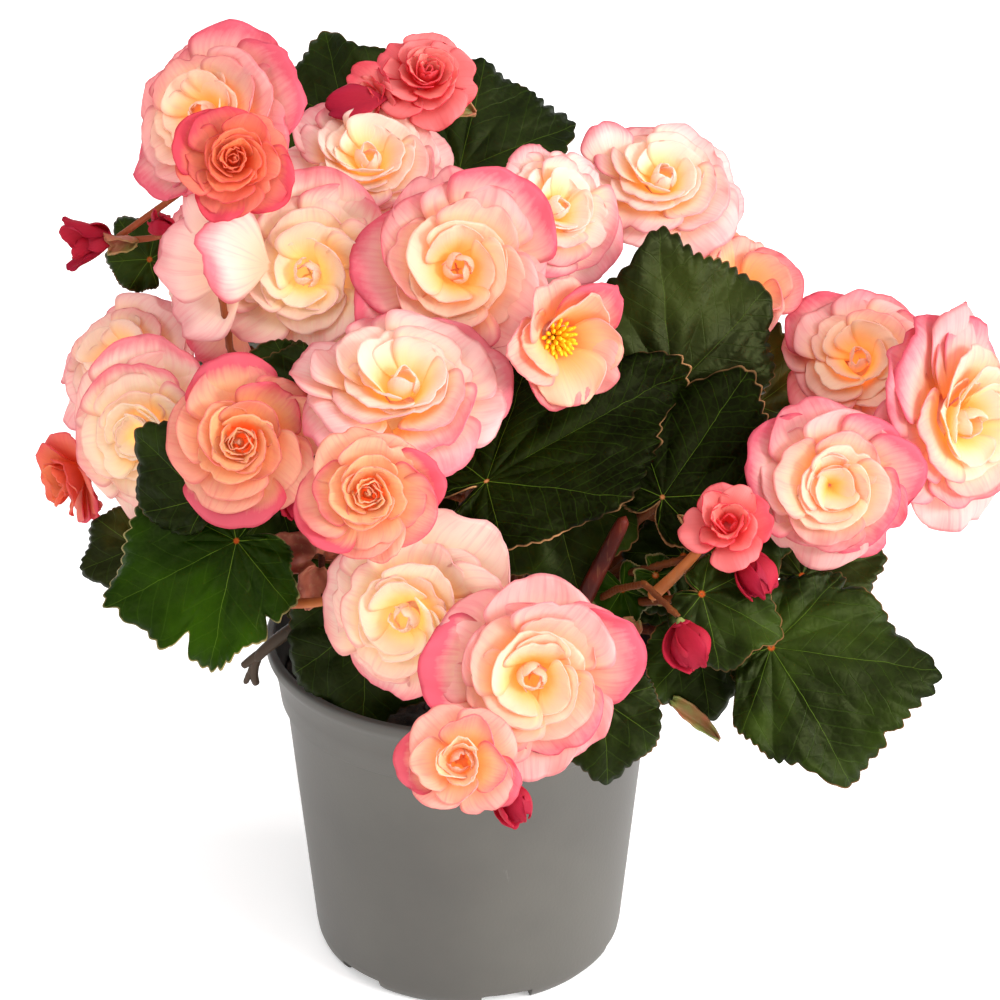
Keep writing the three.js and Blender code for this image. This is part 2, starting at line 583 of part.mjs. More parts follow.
function buildLeaf(leaf) {
  return solidOf(leafGeometry(leaf)).transform(frameFacing(leaf.at, leaf.face, leaf.tip).elements);
}

// ---------------------------------------------------------------- stems
// name, radius, points up the main stem, what its stalks carry, and free twigs [radius, points]
const STEMS = [
  {
    name: "stem_left",
    radius: 3.3,
    axis: [[-24, -8], [-30, -10, 118], [-42, -10, 150], [-58, -2, 184]],
    carries: ["bloom_left_edge", "bloom_left_low", "bloom_left_back", "bloom_side_left", "bloom_rose_left",
      "leaf_left_round", "leaf_left_large", "leaf_left_low", "leaf_centre_gap", "leaf_pot_left",
      "bud_front_left"],
    twigs: [[1.5, [[-30, -10, 120], [-48, -20, 128], [-63, -22, 122], [-71, -18, 104]]]],
  },
  {
    name: "stem_back_left",
    radius: 3.4,
    axis: [[-12, 18], [-18, 26, 130], [-28, 34, 180], [-38, 36, 226]],
    carries: ["bloom_top_left", "bloom_top_left_rose", "bloom_top_red", "bloom_top_pale", "bloom_cream_left",
      "bloom_back_left", "bud_left_far", "leaf_top_left", "leaf_top_right", "leaf_left_small",
      "leaf_back_left"],
    twigs: [],
  },
  {
    name: "stem_centre",
    radius: 3.4,
    axis: [[2, -14], [2, -18, 122], [0, -22, 160], [4, -16, 206]],
    carries: ["bloom_centre", "bloom_cream_centre", "bloom_rose_front", "bloom_pale_right", "bloom_stamens",
      "leaf_centre_large", "leaf_centre_low", "bloom_front_left", "bloom_front_right", "bloom_front_small",
      "leaf_front_low"],
    twigs: [],
  },
  {
    name: "stem_right",
    radius: 2.9,
    axis: [[24, -2], [30, -18, 122], [38, -28, 144], [50, -28, 170], [64, -12, 184]],
    carries: ["bloom_top_right", "bloom_right_cup", "bloom_far_back", "bloom_far_right", "bloom_far_front",
      "bloom_coral_right", "leaf_right_upper", "leaf_right_behind", "leaf_right_mid", "leaf_right_low",
      "leaf_right_large", "leaf_right_back", "leaf_front_right", "bud_right_low"],
    twigs: [],
  },
  {
    name: "stem_back",
    radius: 3.2,
    axis: [[12, 26], [16, 34, 124], [24, 50, 156], [34, 60, 180]],
    carries: ["bloom_back", "bloom_back_right", "leaf_back", "leaf_back_right", "leaf_back_low", "leaf_inner"],
    twigs: [],
  },
];

function tube(curve, radius, sides, steps) {
  const shape = new THREE.Shape();
  for (let i = 0; i < sides; i++) {
    const angle = (2 * Math.PI * (i + 0.5)) / sides;
    shape[i ? "lineTo" : "moveTo"](radius * Math.cos(angle), radius * Math.sin(angle));
  }
  return new THREE.ExtrudeGeometry(shape, { steps, extrudePath: curve, bevelEnabled: false });
}

// Where a stalk ends and the way it arrives: behind a bloom's foot, leaning up, or under a leaf, leaning
// to its tip.
function stalkEnd(name, lean) {
  const bloom = BLOOMS.find((row) => row[0] === name);
  if (bloom) {
    const face = vec(bloom[2]).normalize();
    const upward = new THREE.Vector3(0, 0, 1).projectOnPlane(face).normalize();
    const way = face.clone().multiplyScalar(Math.cos(lean)).addScaledVector(upward, Math.sin(lean));
    const at = vec(bloom[1]).addScaledVector(face, -BLOOM_FOOT * bloom[3] - GAP);
    return { at, way, radius: FLOWER_STALK_RADIUS };
  }
  const leaf = leafOf(LEAVES.find((row) => row[0] === name));
  const face = vec(leaf.face).normalize();
  const tip = vec(leaf.tip).projectOnPlane(face).normalize();
  const way = face.clone().multiplyScalar(Math.cos(lean)).addScaledVector(tip, Math.sin(lean));
  const short = LEAF_THICKNESS / 2 + GAP + LEAF_STALK_RADIUS * Math.sin(lean);
  return { at: vec(leaf.at).addScaledVector(face, -short), way, radius: LEAF_STALK_RADIUS };
}

const meets = (solid, box, { other, otherBox }) => {
  for (let k = 0; k < 3; k++) if (box.min[k] > otherBox.max[k] || otherBox.min[k] > box.max[k]) return false;
  return !solid.intersect(other).isEmpty();
};

// A curve from the main stem to a stalk's end. `swing` bows it out to one side, at an angle round its line.
function stalkCurve({ start, at, way, reach, swing, side }) {
  const distance = start.distanceTo(at);
  const along = at.clone().sub(start).normalize();
  const across = new THREE.Vector3(0, 0, 1).cross(along).normalize();
  const bow = across.clone().multiplyScalar(Math.cos(side));
  bow.addScaledVector(along.clone().cross(across), Math.sin(side)).multiplyScalar(swing);
  const first = start.clone().addScaledVector(along, 0.25 * distance).add(bow);
  first.z += 0.1 * distance;
  const last = at.clone().addScaledVector(way, -reach * distance).addScaledVector(bow, 0.5);
  return { curve: new THREE.CubicBezierCurve3(start, first, last, at), bow, distance };
}

// A stalk from the main stem to what it carries, bent clear of every other piece. Bends are tried from the
// easiest on, those that pass behind before those that pass in front, and the first clear one is kept.
function routeStalk(axis, target, obstacles) {
  const leans = BLOOMS.some((row) => row[0] === target) ? BLOOM_LEANS : LEAF_LEANS;
  const ways = [];
  for (let share = 0.15; share < 1; share += 0.1) {
    const start = axis.getPoint(share);
    for (const lean of leans) {
      const end = stalkEnd(target, lean * DEG);
      const ideal = end.at.z - 0.45 * Math.hypot(end.at.x - start.x, end.at.y - start.y) - 12;
      for (const reach of STALK_REACHES) {
        for (const [swing, sides] of STALK_SWINGS) {
          for (let i = 0; i < sides; i++) {
            const way = { start, ...end, reach, swing, side: i * 45 * DEG };
            const { curve, bow, distance } = stalkCurve(way);
            const bend = swing - 0.4 * bow.y + (reach === STALK_REACHES[0] ? 0 : 4) + Math.abs(lean) / 10;
            const cost = bend + Math.abs(start.z - ideal) / 2 + distance * 0.3;
            ways.push({ curve, radius: end.radius, cost });
          }
        }
      }
    }
  }
  ways.sort((a, b) => a.cost - b.cost);
  const clear = ways.find(({ curve, radius }) => {
    const wide = solidOf(tube(curve, radius + CLEARANCE, STALK_SIDES, STALK_STEPS));
    const box = wide.boundingBox();
    return !obstacles.some((obstacle) => meets(wide, box, obstacle));
  });
  if (!clear) throw new Error(`no clear way to ${target}`);
  return solidOf(tube(clear.curve, clear.radius, STALK_SIDES, STALK_STEPS));
}

function buildStem({ radius, axis, carries, twigs }, obstacles) {
  const [[x, y], ...above] = axis;
  const upright = [STEM_FOOT, SOIL_TOP, SOIL_TOP + 6].map((z) => [x, y, z]);
  const curve = new THREE.CatmullRomCurve3([...upright, ...above].map(vec), false, "centripetal");
  const main = solidOf(tube(curve, radius, STEM_SIDES, STEM_STEPS));
  const stalks = carries.map((target) => routeStalk(curve, target, obstacles));
  const free = twigs.map(([thin, way]) => {
    return solidOf(tube(new THREE.CatmullRomCurve3(way.map(vec)), thin, STALK_SIDES, STALK_STEPS));
  });
  return joined([main, ...stalks, ...free]);
}

// ---------------------------------------------------------------- assembly
const plant = new THREE.Group();
const obstacles = [];
function include(name, solid, material) {
  plant.add(meshOf(name, solid, material));
  obstacles.push({ other: solid, otherBox: solid.boundingBox() });
}

include("pot", buildPot(), MATERIALS.pot);
include("soil", buildSoil(), MATERIALS.soil);
for (const row of BLOOMS) {
  include(row[0], buildBloom(row), row[4] === "bud" ? MATERIALS.bud : MATERIALS.petal);
}
for (const row of LEAVES) include(row[0], buildLeaf(leafOf(row)), MATERIALS.leaf);
for (const stem of STEMS) include(stem.name, buildStem(stem, obstacles), MATERIALS.stem);

export default plant;
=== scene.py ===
# %% [markdown]
# # A double-flowered begonia in its nursery pot
#
# A florist's begonia is a bush of juicy reddish stems. Each carries dark toothed leaves and heavy flowers
# whose petals lie in layers, from a yellow heart out to a pink rim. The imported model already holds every
# stem, leaf, flower, the soil and the pot at their real size. This script puts a finer piece of the same
# form in the place of each, and adds what is too small or too soft for a solid. Everything is in metres,
# with +Z up and the front of the plant looking along -Y.

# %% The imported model
import math

import bpy
import numpy as np
from mathutils import Matrix, Vector


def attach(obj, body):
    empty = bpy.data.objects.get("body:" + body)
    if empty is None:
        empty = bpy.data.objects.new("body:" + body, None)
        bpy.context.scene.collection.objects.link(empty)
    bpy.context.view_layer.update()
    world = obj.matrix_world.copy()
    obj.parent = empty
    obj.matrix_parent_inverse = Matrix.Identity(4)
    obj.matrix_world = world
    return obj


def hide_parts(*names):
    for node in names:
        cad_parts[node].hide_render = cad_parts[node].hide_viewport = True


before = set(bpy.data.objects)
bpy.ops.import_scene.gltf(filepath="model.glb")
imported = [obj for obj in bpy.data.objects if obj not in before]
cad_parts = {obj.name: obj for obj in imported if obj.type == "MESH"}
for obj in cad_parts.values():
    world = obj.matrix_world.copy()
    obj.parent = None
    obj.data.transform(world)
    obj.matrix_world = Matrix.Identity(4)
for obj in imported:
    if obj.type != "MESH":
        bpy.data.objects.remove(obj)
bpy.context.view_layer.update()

MM = 0.001
print("packed pieces:", len(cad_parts))

# %% [markdown]
# ## The camera
#
# The plant was photographed from a little above, from far enough away that the pot's sides stay almost
# parallel. A long lens far off gives that look, and a short lens close by would make the front flowers
# bulge. The camera is set first, because every later choice is judged through it.

# %% Camera at the photograph's angle
CAMERA_PLACE = (0, -1.100, 0.741)
CAMERA_PITCH = 27.83    # degrees below the horizon
CAMERA_YAW = 0.55       # degrees to the right
CAMERA_LENS = 141.3     # mm, on a sensor 36 mm wide

camera_data = bpy.data.cameras.new("camera")
camera_data.lens = CAMERA_LENS
camera = bpy.data.objects.new("camera", camera_data)
camera.location = CAMERA_PLACE
camera.rotation_euler = (math.radians(90 - CAMERA_PITCH), 0, -math.radians(CAMERA_YAW))
bpy.context.scene.collection.objects.link(camera)
bpy.context.scene.camera = camera
print("camera", camera.location)

# %% [markdown]
# ## Shader maths in plain Python
#
# A material is a net of small nodes. Wiring them by hand is slow to read, so `Value` wraps one output
# socket and lets it be added, multiplied and compared as a number, and `Finish` makes the nodes of one
# material. `1 - mask * 0.5` then adds its Math nodes by itself. Colours go through Mix nodes, because a
# Math node would turn them grey.

# %% A socket that can be reckoned with
COLOUR_A, COLOUR_B, COLOUR_OUT = 6, 7, 2    # where a Mix node has its colours


class Value:
    """An output socket of one finish, as a number in an expression."""

    def __init__(self, finish, socket):
        self.finish = finish
        self.socket = socket

    def math(self, operation, *others):
        inputs = dict(enumerate([self, *others]))
        return self.finish.node("ShaderNodeMath", {"operation": operation}, inputs)

    def __add__(self, other):
        return self.math("ADD", other)

    def __sub__(self, other):
        return self.math("SUBTRACT", other)

    def __rsub__(self, other):
        return self.finish.node("ShaderNodeMath", {"operation": "SUBTRACT"}, {0: other, 1: self})

    def __mul__(self, other):
        return self.math("MULTIPLY", other)

    __radd__ = __add__
    __rmul__ = __mul__

    def absolute(self):
        return self.math("ABSOLUTE")

    def fraction(self):
        return self.math("FRACT")

    def step(self, low, high):
        """0 below low, 1 above high, and a smooth slope between."""
        settings = {"interpolation_type": "SMOOTHSTEP"}
        return self.finish.node("ShaderNodeMapRange", settings, {0: self, 1: low, 2: high})


print("socket maths ready")


# %% A material and its nodes
class Finish:
    """One material and the nodes that make it."""

    def __init__(self, name):
        self.material = bpy.data.materials.new(name)
        self.material.use_nodes = True
        self.tree = self.material.node_tree
        self.shader = self.tree.nodes["Principled BSDF"]

    def plug(self, socket, value):
        if isinstance(value, Value):
            self.tree.links.new(value.socket, socket)
        else:
            socket.default_value = value

    def node(self, kind, settings, inputs, output=0):
        node = self.tree.nodes.new(kind)
        for key, value in settings.items():
            setattr(node, key, value)
        for key, value in inputs.items():
            self.plug(node.inputs[key], value)
        return Value(self, node.outputs[output])

    def place(self):
        return self.node("ShaderNodeTexCoord", {}, {}, "Object")

    def axis(self, vector, number):
        """One number of a vector: 0, 1 or 2 for its x, y or z."""
        return self.node("ShaderNodeSeparateXYZ", {}, {0: vector}, number)

    def map(self, name):
        """The two numbers of one of the piece's own UV maps."""
        both = self.node("ShaderNodeUVMap", {"uv_map": name}, {})
        return self.axis(both, 0), self.axis(both, 1)

    def stretched(self, vector, scales):
        return self.node("ShaderNodeVectorMath", {"operation": "MULTIPLY"}, {0: vector, 1: scales})

    def point(self, x, y, z=0.0):
        return self.node("ShaderNodeCombineXYZ", {}, {0: x, 1: y, 2: z})

    def noise(self, vector, scale, detail=2.0, roughness=0.5):
        inputs = {"Vector": vector, "Scale": scale, "Detail": detail, "Roughness": roughness}
        return self.node("ShaderNodeTexNoise", {}, inputs)

    def mix(self, share, first, second):
        """The first colour where share is 0, the second where it is 1."""
        settings = {"data_type": "RGBA", "clamp_factor": True}
        return self.node("ShaderNodeMix", settings, {0: share, COLOUR_A: first, COLOUR_B: second}, COLOUR_OUT)

    def bump(self, height, strength, distance):
        inputs = {"Strength": strength, "Distance": distance, "Height": height}
        return self.node("ShaderNodeBump", {}, inputs)

    def finish(self, colour, roughness, normal=None, **constants):
        """Plugs what varies into the shader, and sets what is the same all over on its own sockets."""
        self.plug(self.shader.inputs["Base Color"], colour)
        self.plug(self.shader.inputs["Roughness"], roughness)
        if normal is not None:
            self.plug(self.shader.inputs["Normal"], normal)
        for key, value in constants.items():
            self.shader.inputs[key.replace("_", " ")].default_value = value
        return self.material

    def let_light_through(self, colour, share):
        """Mixes in light that comes through a thin blade from behind."""
        through = self.node("ShaderNodeBsdfTranslucent", {}, {"Color": colour})
        front = Value(self, self.shader.outputs[0])
        both = self.node("ShaderNodeMixShader", {}, {0: share, 1: front, 2: through})
        self.tree.links.new(both.socket, self.tree.nodes["Material Output"].inputs["Surface"])


def rgb(red, green, blue):
    """A colour as a screen shows it, from 0 to 255, as Blender's linear colour."""
    def linear(value):
        value = value / 255
        return value / 12.92 if value <= 0.04045 else ((value + 0.055) / 1.055) ** 2.4
    return (linear(red), linear(green), linear(blue), 1.0)


print("mid grey in linear light:", round(rgb(128, 128, 128)[0], 3))

# %% [markdown]
# ## Working with meshes
#
# A few moves come back on every piece: select nothing, start from a primitive, apply a modifier, hand the
# finished piece over. A primitive arrives selected, and edit-mode tools act on all that is selected, so
# each helper begins by letting go of everything.

# %% Helpers for modelling
def select_only(*pieces):
    bpy.ops.object.select_all(action="DESELECT")
    for piece in pieces:
        piece.select_set(True)
    bpy.context.view_layer.objects.active = pieces[0]


def add(primitive, **settings):
    """A new primitive, with nothing else selected."""
    bpy.ops.object.select_all(action="DESELECT")
    primitive(**settings)
    return bpy.context.object


def add_grid(name, columns, rows):
    """A flat grid from -1 to 1 both ways, with its own UV map."""
    piece = add(bpy.ops.mesh.primitive_grid_add, x_subdivisions=columns, y_subdivisions=rows, size=2)
    piece.name = name
    return piece


def copy_of(piece, name):
    twin = piece.copy()
    twin.data = piece.data.copy()
    twin.name = name
    bpy.context.scene.collection.objects.link(twin)
    return twin


def apply_modifier(piece, kind, **settings):
    select_only(piece)
    modifier = piece.modifiers.new(kind.lower(), kind)
    for key, value in settings.items():
        setattr(modifier, key, value)
    bpy.ops.object.modifier_apply(modifier=modifier.name)


def in_edit_mode(piece, *steps):
    """Runs each step on the whole mesh, in edit mode."""
    select_only(piece)
    bpy.ops.object.mode_set(mode="EDIT")
    bpy.ops.mesh.select_all(action="SELECT")
    for step in steps:
        step()
    bpy.ops.object.mode_set(mode="OBJECT")


def merge_points(piece, distance, *steps):
    in_edit_mode(piece, lambda: bpy.ops.mesh.remove_doubles(threshold=distance), *steps)


def smooth(piece):
    select_only(piece)
    bpy.ops.object.shade_smooth()


def join(pieces, name):
    select_only(*pieces)
    bpy.ops.object.join()
    pieces[0].name = name
    return pieces[0]


print("modelling helpers ready")


# %% Reading, placing and thickening a mesh
def read_points(mesh):
    flat = np.empty(len(mesh.vertices) * 3, np.float32)
    mesh.vertices.foreach_get("co", flat)
    return flat.reshape(-1, 3).astype(float)


def write_points(mesh, points):
    mesh.vertices.foreach_set("co", np.ascontiguousarray(points, np.float32).ravel())
    mesh.update()


def hand_over(piece, slot, *nodes):
    """The finished piece moves with the plant and stands for its solids; its slot is not used."""
    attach(piece, "root")
    if nodes:
        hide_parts(*nodes)


def solids(name):
    """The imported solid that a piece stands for: none for the small pieces that only the scene has."""
    return [name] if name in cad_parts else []


def facing(at, faces, up=(0, 0, 1)):
    """Axes for a piece whose own +Z looks along `faces`, with its +Y as near to `up` as it can be."""
    z = Vector(faces).normalized()
    x = Vector(up).cross(z).normalized()
    y = z.cross(x)
    turn = Matrix((x, y, z)).transposed()
    return np.array(turn), np.array(at, float) * MM


def set_down(piece, points, at, faces, up=(0, 0, 1)):
    """Moves points from a piece's own frame to its place on the plant."""
    turn, origin = facing(at, faces, up)
    write_points(piece.data, points @ turn.T + origin)


def as_sheet(piece, first, second, thickness):
    """Gives a flat piece its thickness, with one skin on each side."""
    piece.data.materials.append(first)
    piece.data.materials.append(second)
    apply_modifier(piece, "SOLIDIFY", thickness=thickness, offset=0, material_offset=1)


class Draw:
    """A repeatable stream of numbers from 0 to 1, the same as the one that shaped the solids."""

    def __init__(self, seed):
        self.state = seed

    def next(self):
        self.state = (self.state * 1664525 + 1013904223) % 4294967296
        return self.state / 4294967296


print("placing helpers ready, first draw:", round(Draw(1).next(), 3))

# %% [markdown]
# ## The pot
#
# A nursery pot is moulded from thin grey plastic: a tapered wall, a collar that steps out under a rolled lip,
# and a foot ring with gaps so that water can run away. The model is turned like a bowl on a wheel: a ring
# of points is extruded from one height and radius to the next, up the outside and down the inside, and the
# gaps and drain holes are cut afterwards. Peat dust and painted shade darken the inside, and painted shade
# darkens the top of the lip.

# %% The pot's plastic
PAINTED_SHADE_LIP = (0.111, 0.1125)      # heights between which the top of the lip is painted darker, as painted shade


def pot_plastic(name, deep, bright):
    finish = Finish(name)
    place = finish.place()
    cloudy = finish.noise(place, 22.0, 4.0)
    grain = finish.noise(place, 900.0, 2.0)
    streaks = finish.stretched(place, (700, 700, 60))
    scuffs = finish.noise(streaks, 1.0, 3.0, 0.7).step(0.66, 0.8)
    patches = finish.noise(place, 30.0, 2.0).step(0.52, 0.7)
    wear = scuffs * patches
    colour = finish.mix(cloudy.step(0.3, 0.75), deep, bright)
    colour = finish.mix(wear * 0.4, colour, rgb(140, 138, 134))
    # Painted shade: the top of the lip is darkened.
    lip = finish.axis(place, 2).step(*PAINTED_SHADE_LIP) * 0.5
    colour = finish.mix(lip, colour, rgb(70, 69, 67))
    roughness = 0.42 + 0.12 * cloudy + 0.15 * wear
    normal = finish.bump(grain, 0.12, 0.0003)
    return finish.finish(colour, roughness, normal, Specular_IOR_Level=0.4)


POT_PLASTIC = pot_plastic("pot_plastic", rgb(73, 70, 65), rgb(81, 78, 72))
# The inside's darker plastic stands for peat dust and for painted shade.
POT_SHADED = pot_plastic("pot_inside_dust_and_shade", rgb(40, 38, 36), rgb(52, 49, 45))
print("finishes", POT_PLASTIC.name, POT_SHADED.name)

# %% Turning a shell
def turned_shell(name, profile, steps):
    """A disc whose rim is extruded through every radius and height, and closed at the end."""
    radius, height = (value * MM for value in profile[0])
    disc = {"radius": radius, "fill_type": "NGON", "location": (0, 0, height)}
    shell = add(bpy.ops.mesh.primitive_circle_add, vertices=steps, **disc)
    shell.name = name
    bpy.ops.object.transform_apply(location=True)
    bpy.ops.object.mode_set(mode="EDIT")
    bpy.ops.mesh.select_all(action="SELECT")
    for next_radius, next_height in profile[1:]:
        rise = next_height * MM - height
        bpy.ops.mesh.extrude_edges_move(TRANSFORM_OT_translate={"value": (0, 0, rise)})
        scale = next_radius * MM / radius
        height = next_height * MM
        middle = (0, 0, height)
        bpy.ops.transform.resize(value=(scale, scale, 1), center_override=middle)
        radius = next_radius * MM
    bpy.ops.mesh.edge_face_add()
    bpy.ops.mesh.select_all(action="SELECT")
    bpy.ops.mesh.normals_make_consistent(inside=False)
    bpy.ops.object.mode_set(mode="OBJECT")
    return shell


POT_STEPS = 160
POT_OUTSIDE = [  # radius and height, mm
    (29, 0), (29.3, 0.4), (30.5, 3.2), (42.7, 3.2), (43.9, 0.4), (44.4, 0), (47.0, 0), (47.8, 0.4),
    (49.6, 2.4), (50.3, 4.2), (50.8, 7), (53.5, 35), (56.2, 63), (58.8, 90.4), (59.1, 91.2), (60.0, 91.7),
    (60.6, 92.3), (61.6, 100), (63.3, 106.6), (64.2, 108.2), (64.9, 109.4), (65, 110), (65, 111.9),
    (64.7, 112.6), (64.0, 113),
]
POT_INSIDE = [
    (62.6, 113), (62.1, 112.5), (61.8, 111.6), (60.3, 104), (59.2, 98), (57.5, 90), (52.5, 40), (49.4, 11),
    (48.4, 6.8), (44.2, 5.4), (28, 5.4), (26, 2.2),
]
pot = turned_shell("nursery_pot", POT_OUTSIDE + POT_INSIDE, POT_STEPS)
print("turned pot:", len(pot.data.polygons), "faces")


# %% Cutting the gaps and holes
def cut_ring(shell, first, primitive, **settings):
    """Cuts a ring of openings with copies of a primitive, each turned on from the last."""
    cutters = []
    for number in range(OPENINGS):
        cutter = add(primitive, **settings)
        bpy.ops.object.transform_apply(location=True, rotation=True, scale=True)
        turn = Matrix.Rotation(math.radians(first + 360 * number / OPENINGS), 4, "Z")
        cutter.data.transform(turn)
        cutters.append(cutter)
    cutter = join(cutters, "cutter")
    apply_modifier(shell, "BOOLEAN", operation="DIFFERENCE", object=cutter, solver="EXACT")
    bpy.data.objects.remove(cutter)


OPENINGS = 6                # notches in the foot, and as many drain holes
FIRST_NOTCH, FIRST_HOLE = 14.5, 44.5    # degrees round from the front
NOTCH_AT, NOTCH_SIZE = (0, -50.8 * MM, 0), (17 * MM, 14 * MM, 9.2 * MM)
HOLE = {"vertices": 32, "radius": 3.5 * MM, "depth": 20 * MM, "location": (0, -36.6 * MM, 0)}
cut_ring(pot, FIRST_NOTCH, bpy.ops.mesh.primitive_cube_add, size=1, location=NOTCH_AT, scale=NOTCH_SIZE)
cut_ring(pot, FIRST_HOLE, bpy.ops.mesh.primitive_cylinder_add, **HOLE)
print("cut pot:", len(pot.data.polygons), "faces")

# %% Finishing the pot
POT_ROUNDING = 0.35 * MM
LOOKS_INWARDS = -0.02       # radius times the outward part of the normal, in m
INSIDE_FLOOR = 8 * MM

edges = {"limit_method": "ANGLE", "angle_limit": math.radians(50)}
apply_modifier(pot, "BEVEL", width=POT_ROUNDING, segments=2, **edges)
pot.data.materials.append(POT_PLASTIC)
pot.data.materials.append(POT_SHADED)
# Faces that look inwards above the floor take the darker plastic: peat dust and painted shade.
for face in pot.data.polygons:
    outwards = face.center.x * face.normal.x + face.center.y * face.normal.y
    face.material_index = int(outwards < LOOKS_INWARDS and face.center.z > INSIDE_FLOOR)
select_only(pot)
bpy.ops.object.shade_smooth_by_angle(angle=math.radians(40))
hand_over(pot, "pot_plastic", "pot")
print("pot:", len(pot.data.polygons), "faces")

# %% [markdown]
# ## The soil
#
# Peat is dark, damp and crumbly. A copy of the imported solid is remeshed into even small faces, and only
# its open top is roughened by a formula, so the sides keep clear of the pot. Loose crumbs lie on top.

# %% Peat
def peat():
    finish = Finish("peat")
    place = finish.place()
    lumps = finish.noise(place, 260.0, 6.0, 0.7)
    fibres = finish.noise(place, 900.0, 3.0)
    colour = finish.mix(lumps.step(0.35, 0.7), rgb(22, 17, 13), rgb(58, 44, 33))
    colour = finish.mix(fibres.step(0.62, 0.75) * 0.6, colour, rgb(104, 80, 58))
    return finish.finish(colour, 0.9 - 0.25 * lumps, finish.bump(lumps + 0.4 * fibres, 0.9, 0.0012))


PEAT = peat()
print("finish", PEAT.name)

# %% The rough top of the soil
SOIL_OPEN = 97 * MM     # above this height the peat is in the open
SOIL_EDGE = 55 * MM
SOIL_CUBE, STEM_CUBE = 1.15 * MM, 0.75 * MM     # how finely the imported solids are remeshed
SOIL_ROUGH, LUMP_FROM, LUMP_TO = 0.9 * MM, 4 * MM, 14 * MM
SAME_POINT = 1e-5       # m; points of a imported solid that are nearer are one
SAME_SEAM = 1e-6        # m; the same where a grid meets itself


def ripples(points, seed, count, finest, coarsest):
    """A rough field over the points, mostly between -1 and 1, out of waves in all directions."""
    draw = np.random.default_rng(seed)
    field = np.zeros(len(points))
    for _ in range(count):
        way = draw.normal(size=3)
        way /= np.linalg.norm(way)
        field += np.sin(points @ way * 2 * math.pi / draw.uniform(finest, coarsest) + draw.uniform(0, 6.28))
    return field / math.sqrt(count)


def build_soil():
    soil = copy_of(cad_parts["soil"], "potting_soil")
    merge_points(soil, SAME_POINT)
    apply_modifier(soil, "REMESH", mode="VOXEL", voxel_size=SOIL_CUBE)
    points = read_points(soil.data)
    away = np.hypot(points[:, 0], points[:, 1])
    open_top = (points[:, 2] > SOIL_OPEN) & (away < SOIL_EDGE)
    rough = SOIL_ROUGH * ripples(points, 3, 40, LUMP_FROM, LUMP_TO)
    points[:, 2] += np.where(open_top, rough, 0)
    write_points(soil.data, points)
    soil.data.materials.clear()
    soil.data.materials.append(PEAT)
    smooth(soil)
    hand_over(soil, "soil", "soil")
    return soil


soil = build_soil()
print("soil:", len(soil.data.polygons), "faces")

# %% Loose crumbs
CRUMBS = 190
CRUMB_SPREAD = 54 * MM
CRUMB_RADII = (0.7, 2.3)    # mm
SOIL_TOP, SOIL_FALL, SOIL_RADIUS = 102.3, 3.2, 56 * MM     # the top is a low dome: mm, mm and m


def build_crumbs(count):
    """Lumps of peat scattered over the soil's top, each a small rough ball pressed flat."""
    lump = add(bpy.ops.mesh.primitive_ico_sphere_add, subdivisions=2, radius=1)
    ball = read_points(lump.data)
    draw = np.random.default_rng(11)
    crumbs = []
    for number in range(count):
        size = draw.uniform(*CRUMB_RADII) * MM
        shape = ball * (1 + 0.22 * ripples(ball + number, number, 6, 0.9, 2.2))[:, None]
        shape *= size * draw.uniform(0.6, 1.2, 3)
        away = CRUMB_SPREAD * math.sqrt(draw.uniform(0.02, 1))
        around = draw.uniform(0, 2 * math.pi)
        height = (SOIL_TOP - SOIL_FALL * (away / SOIL_RADIUS) ** 2) * MM
        shape += [away * math.cos(around), away * math.sin(around), height]
        crumb = copy_of(lump, "crumb")
        write_points(crumb.data, shape)
        crumbs.append(crumb)
    bpy.data.objects.remove(lump)
    piece = join(crumbs, "soil_crumbs")
    piece.data.materials.append(PEAT)
    smooth(piece)
    hand_over(piece, "soil")
    return piece


print("crumbs:", len(build_crumbs(CRUMBS).data.polygons), "faces")

# %% [markdown]
# ## The stems
#
# Begonia stems are round, juicy and reddish, swollen where a stalk leaves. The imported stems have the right
# course but flat sides. Remeshing a copy into small cubes of volume and smoothing those gives the round
# section and soft joints that growth gives.

# %% Stem skin
WITHERED_LEFT, WITHERED_LOW = (-0.064, -0.054), (0.128, 0.138)  # m; here the twig has dried up


def stem_skin(name, deep, bright, high):
    finish = Finish(name)
    place = finish.place()
    blotches = finish.noise(place, 45.0, 3.0)
    left, height = finish.axis(place, 0), finish.axis(place, 2)
    fibres = finish.noise(finish.stretched(place, (900, 900, 90)), 1.0, 2.0)
    colour = finish.mix(blotches.step(0.35, 0.68), deep, bright)
    colour = finish.mix(height.step(0.16, 0.26) * 0.7, colour, high)
    colour = finish.mix(fibres.step(0.55, 0.75) * 0.25, colour, rgb(150, 104, 66))
    withered = (1 - left.step(*WITHERED_LEFT)) * (1 - height.step(*WITHERED_LOW))
    colour = finish.mix(withered, colour, rgb(66, 52, 40))
    normal = finish.bump(fibres, 0.25, 0.0004)
    return finish.finish(colour, 0.36 + 0.2 * blotches, normal, Specular_IOR_Level=0.16)


STEM_SKIN = stem_skin("stem_skin", rgb(66, 24, 12), rgb(108, 58, 24), rgb(158, 76, 42))
print("finish", STEM_SKIN.name)

# %% Growing the stems
STEM_NODES = sorted(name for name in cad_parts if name.startswith("stem_"))


def build_stem(node):
    stem = copy_of(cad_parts[node], node + "_grown")
    merge_points(stem, SAME_POINT)
    apply_modifier(stem, "REMESH", mode="VOXEL", voxel_size=STEM_CUBE)
    apply_modifier(stem, "SMOOTH", factor=0.5, iterations=4)
    stem.data.materials.clear()
    stem.data.materials.append(STEM_SKIN)
    smooth(stem)
    hand_over(stem, "stem", node)
    return len(stem.data.polygons)


for node in STEM_NODES:
    print(node, build_stem(node), "faces")

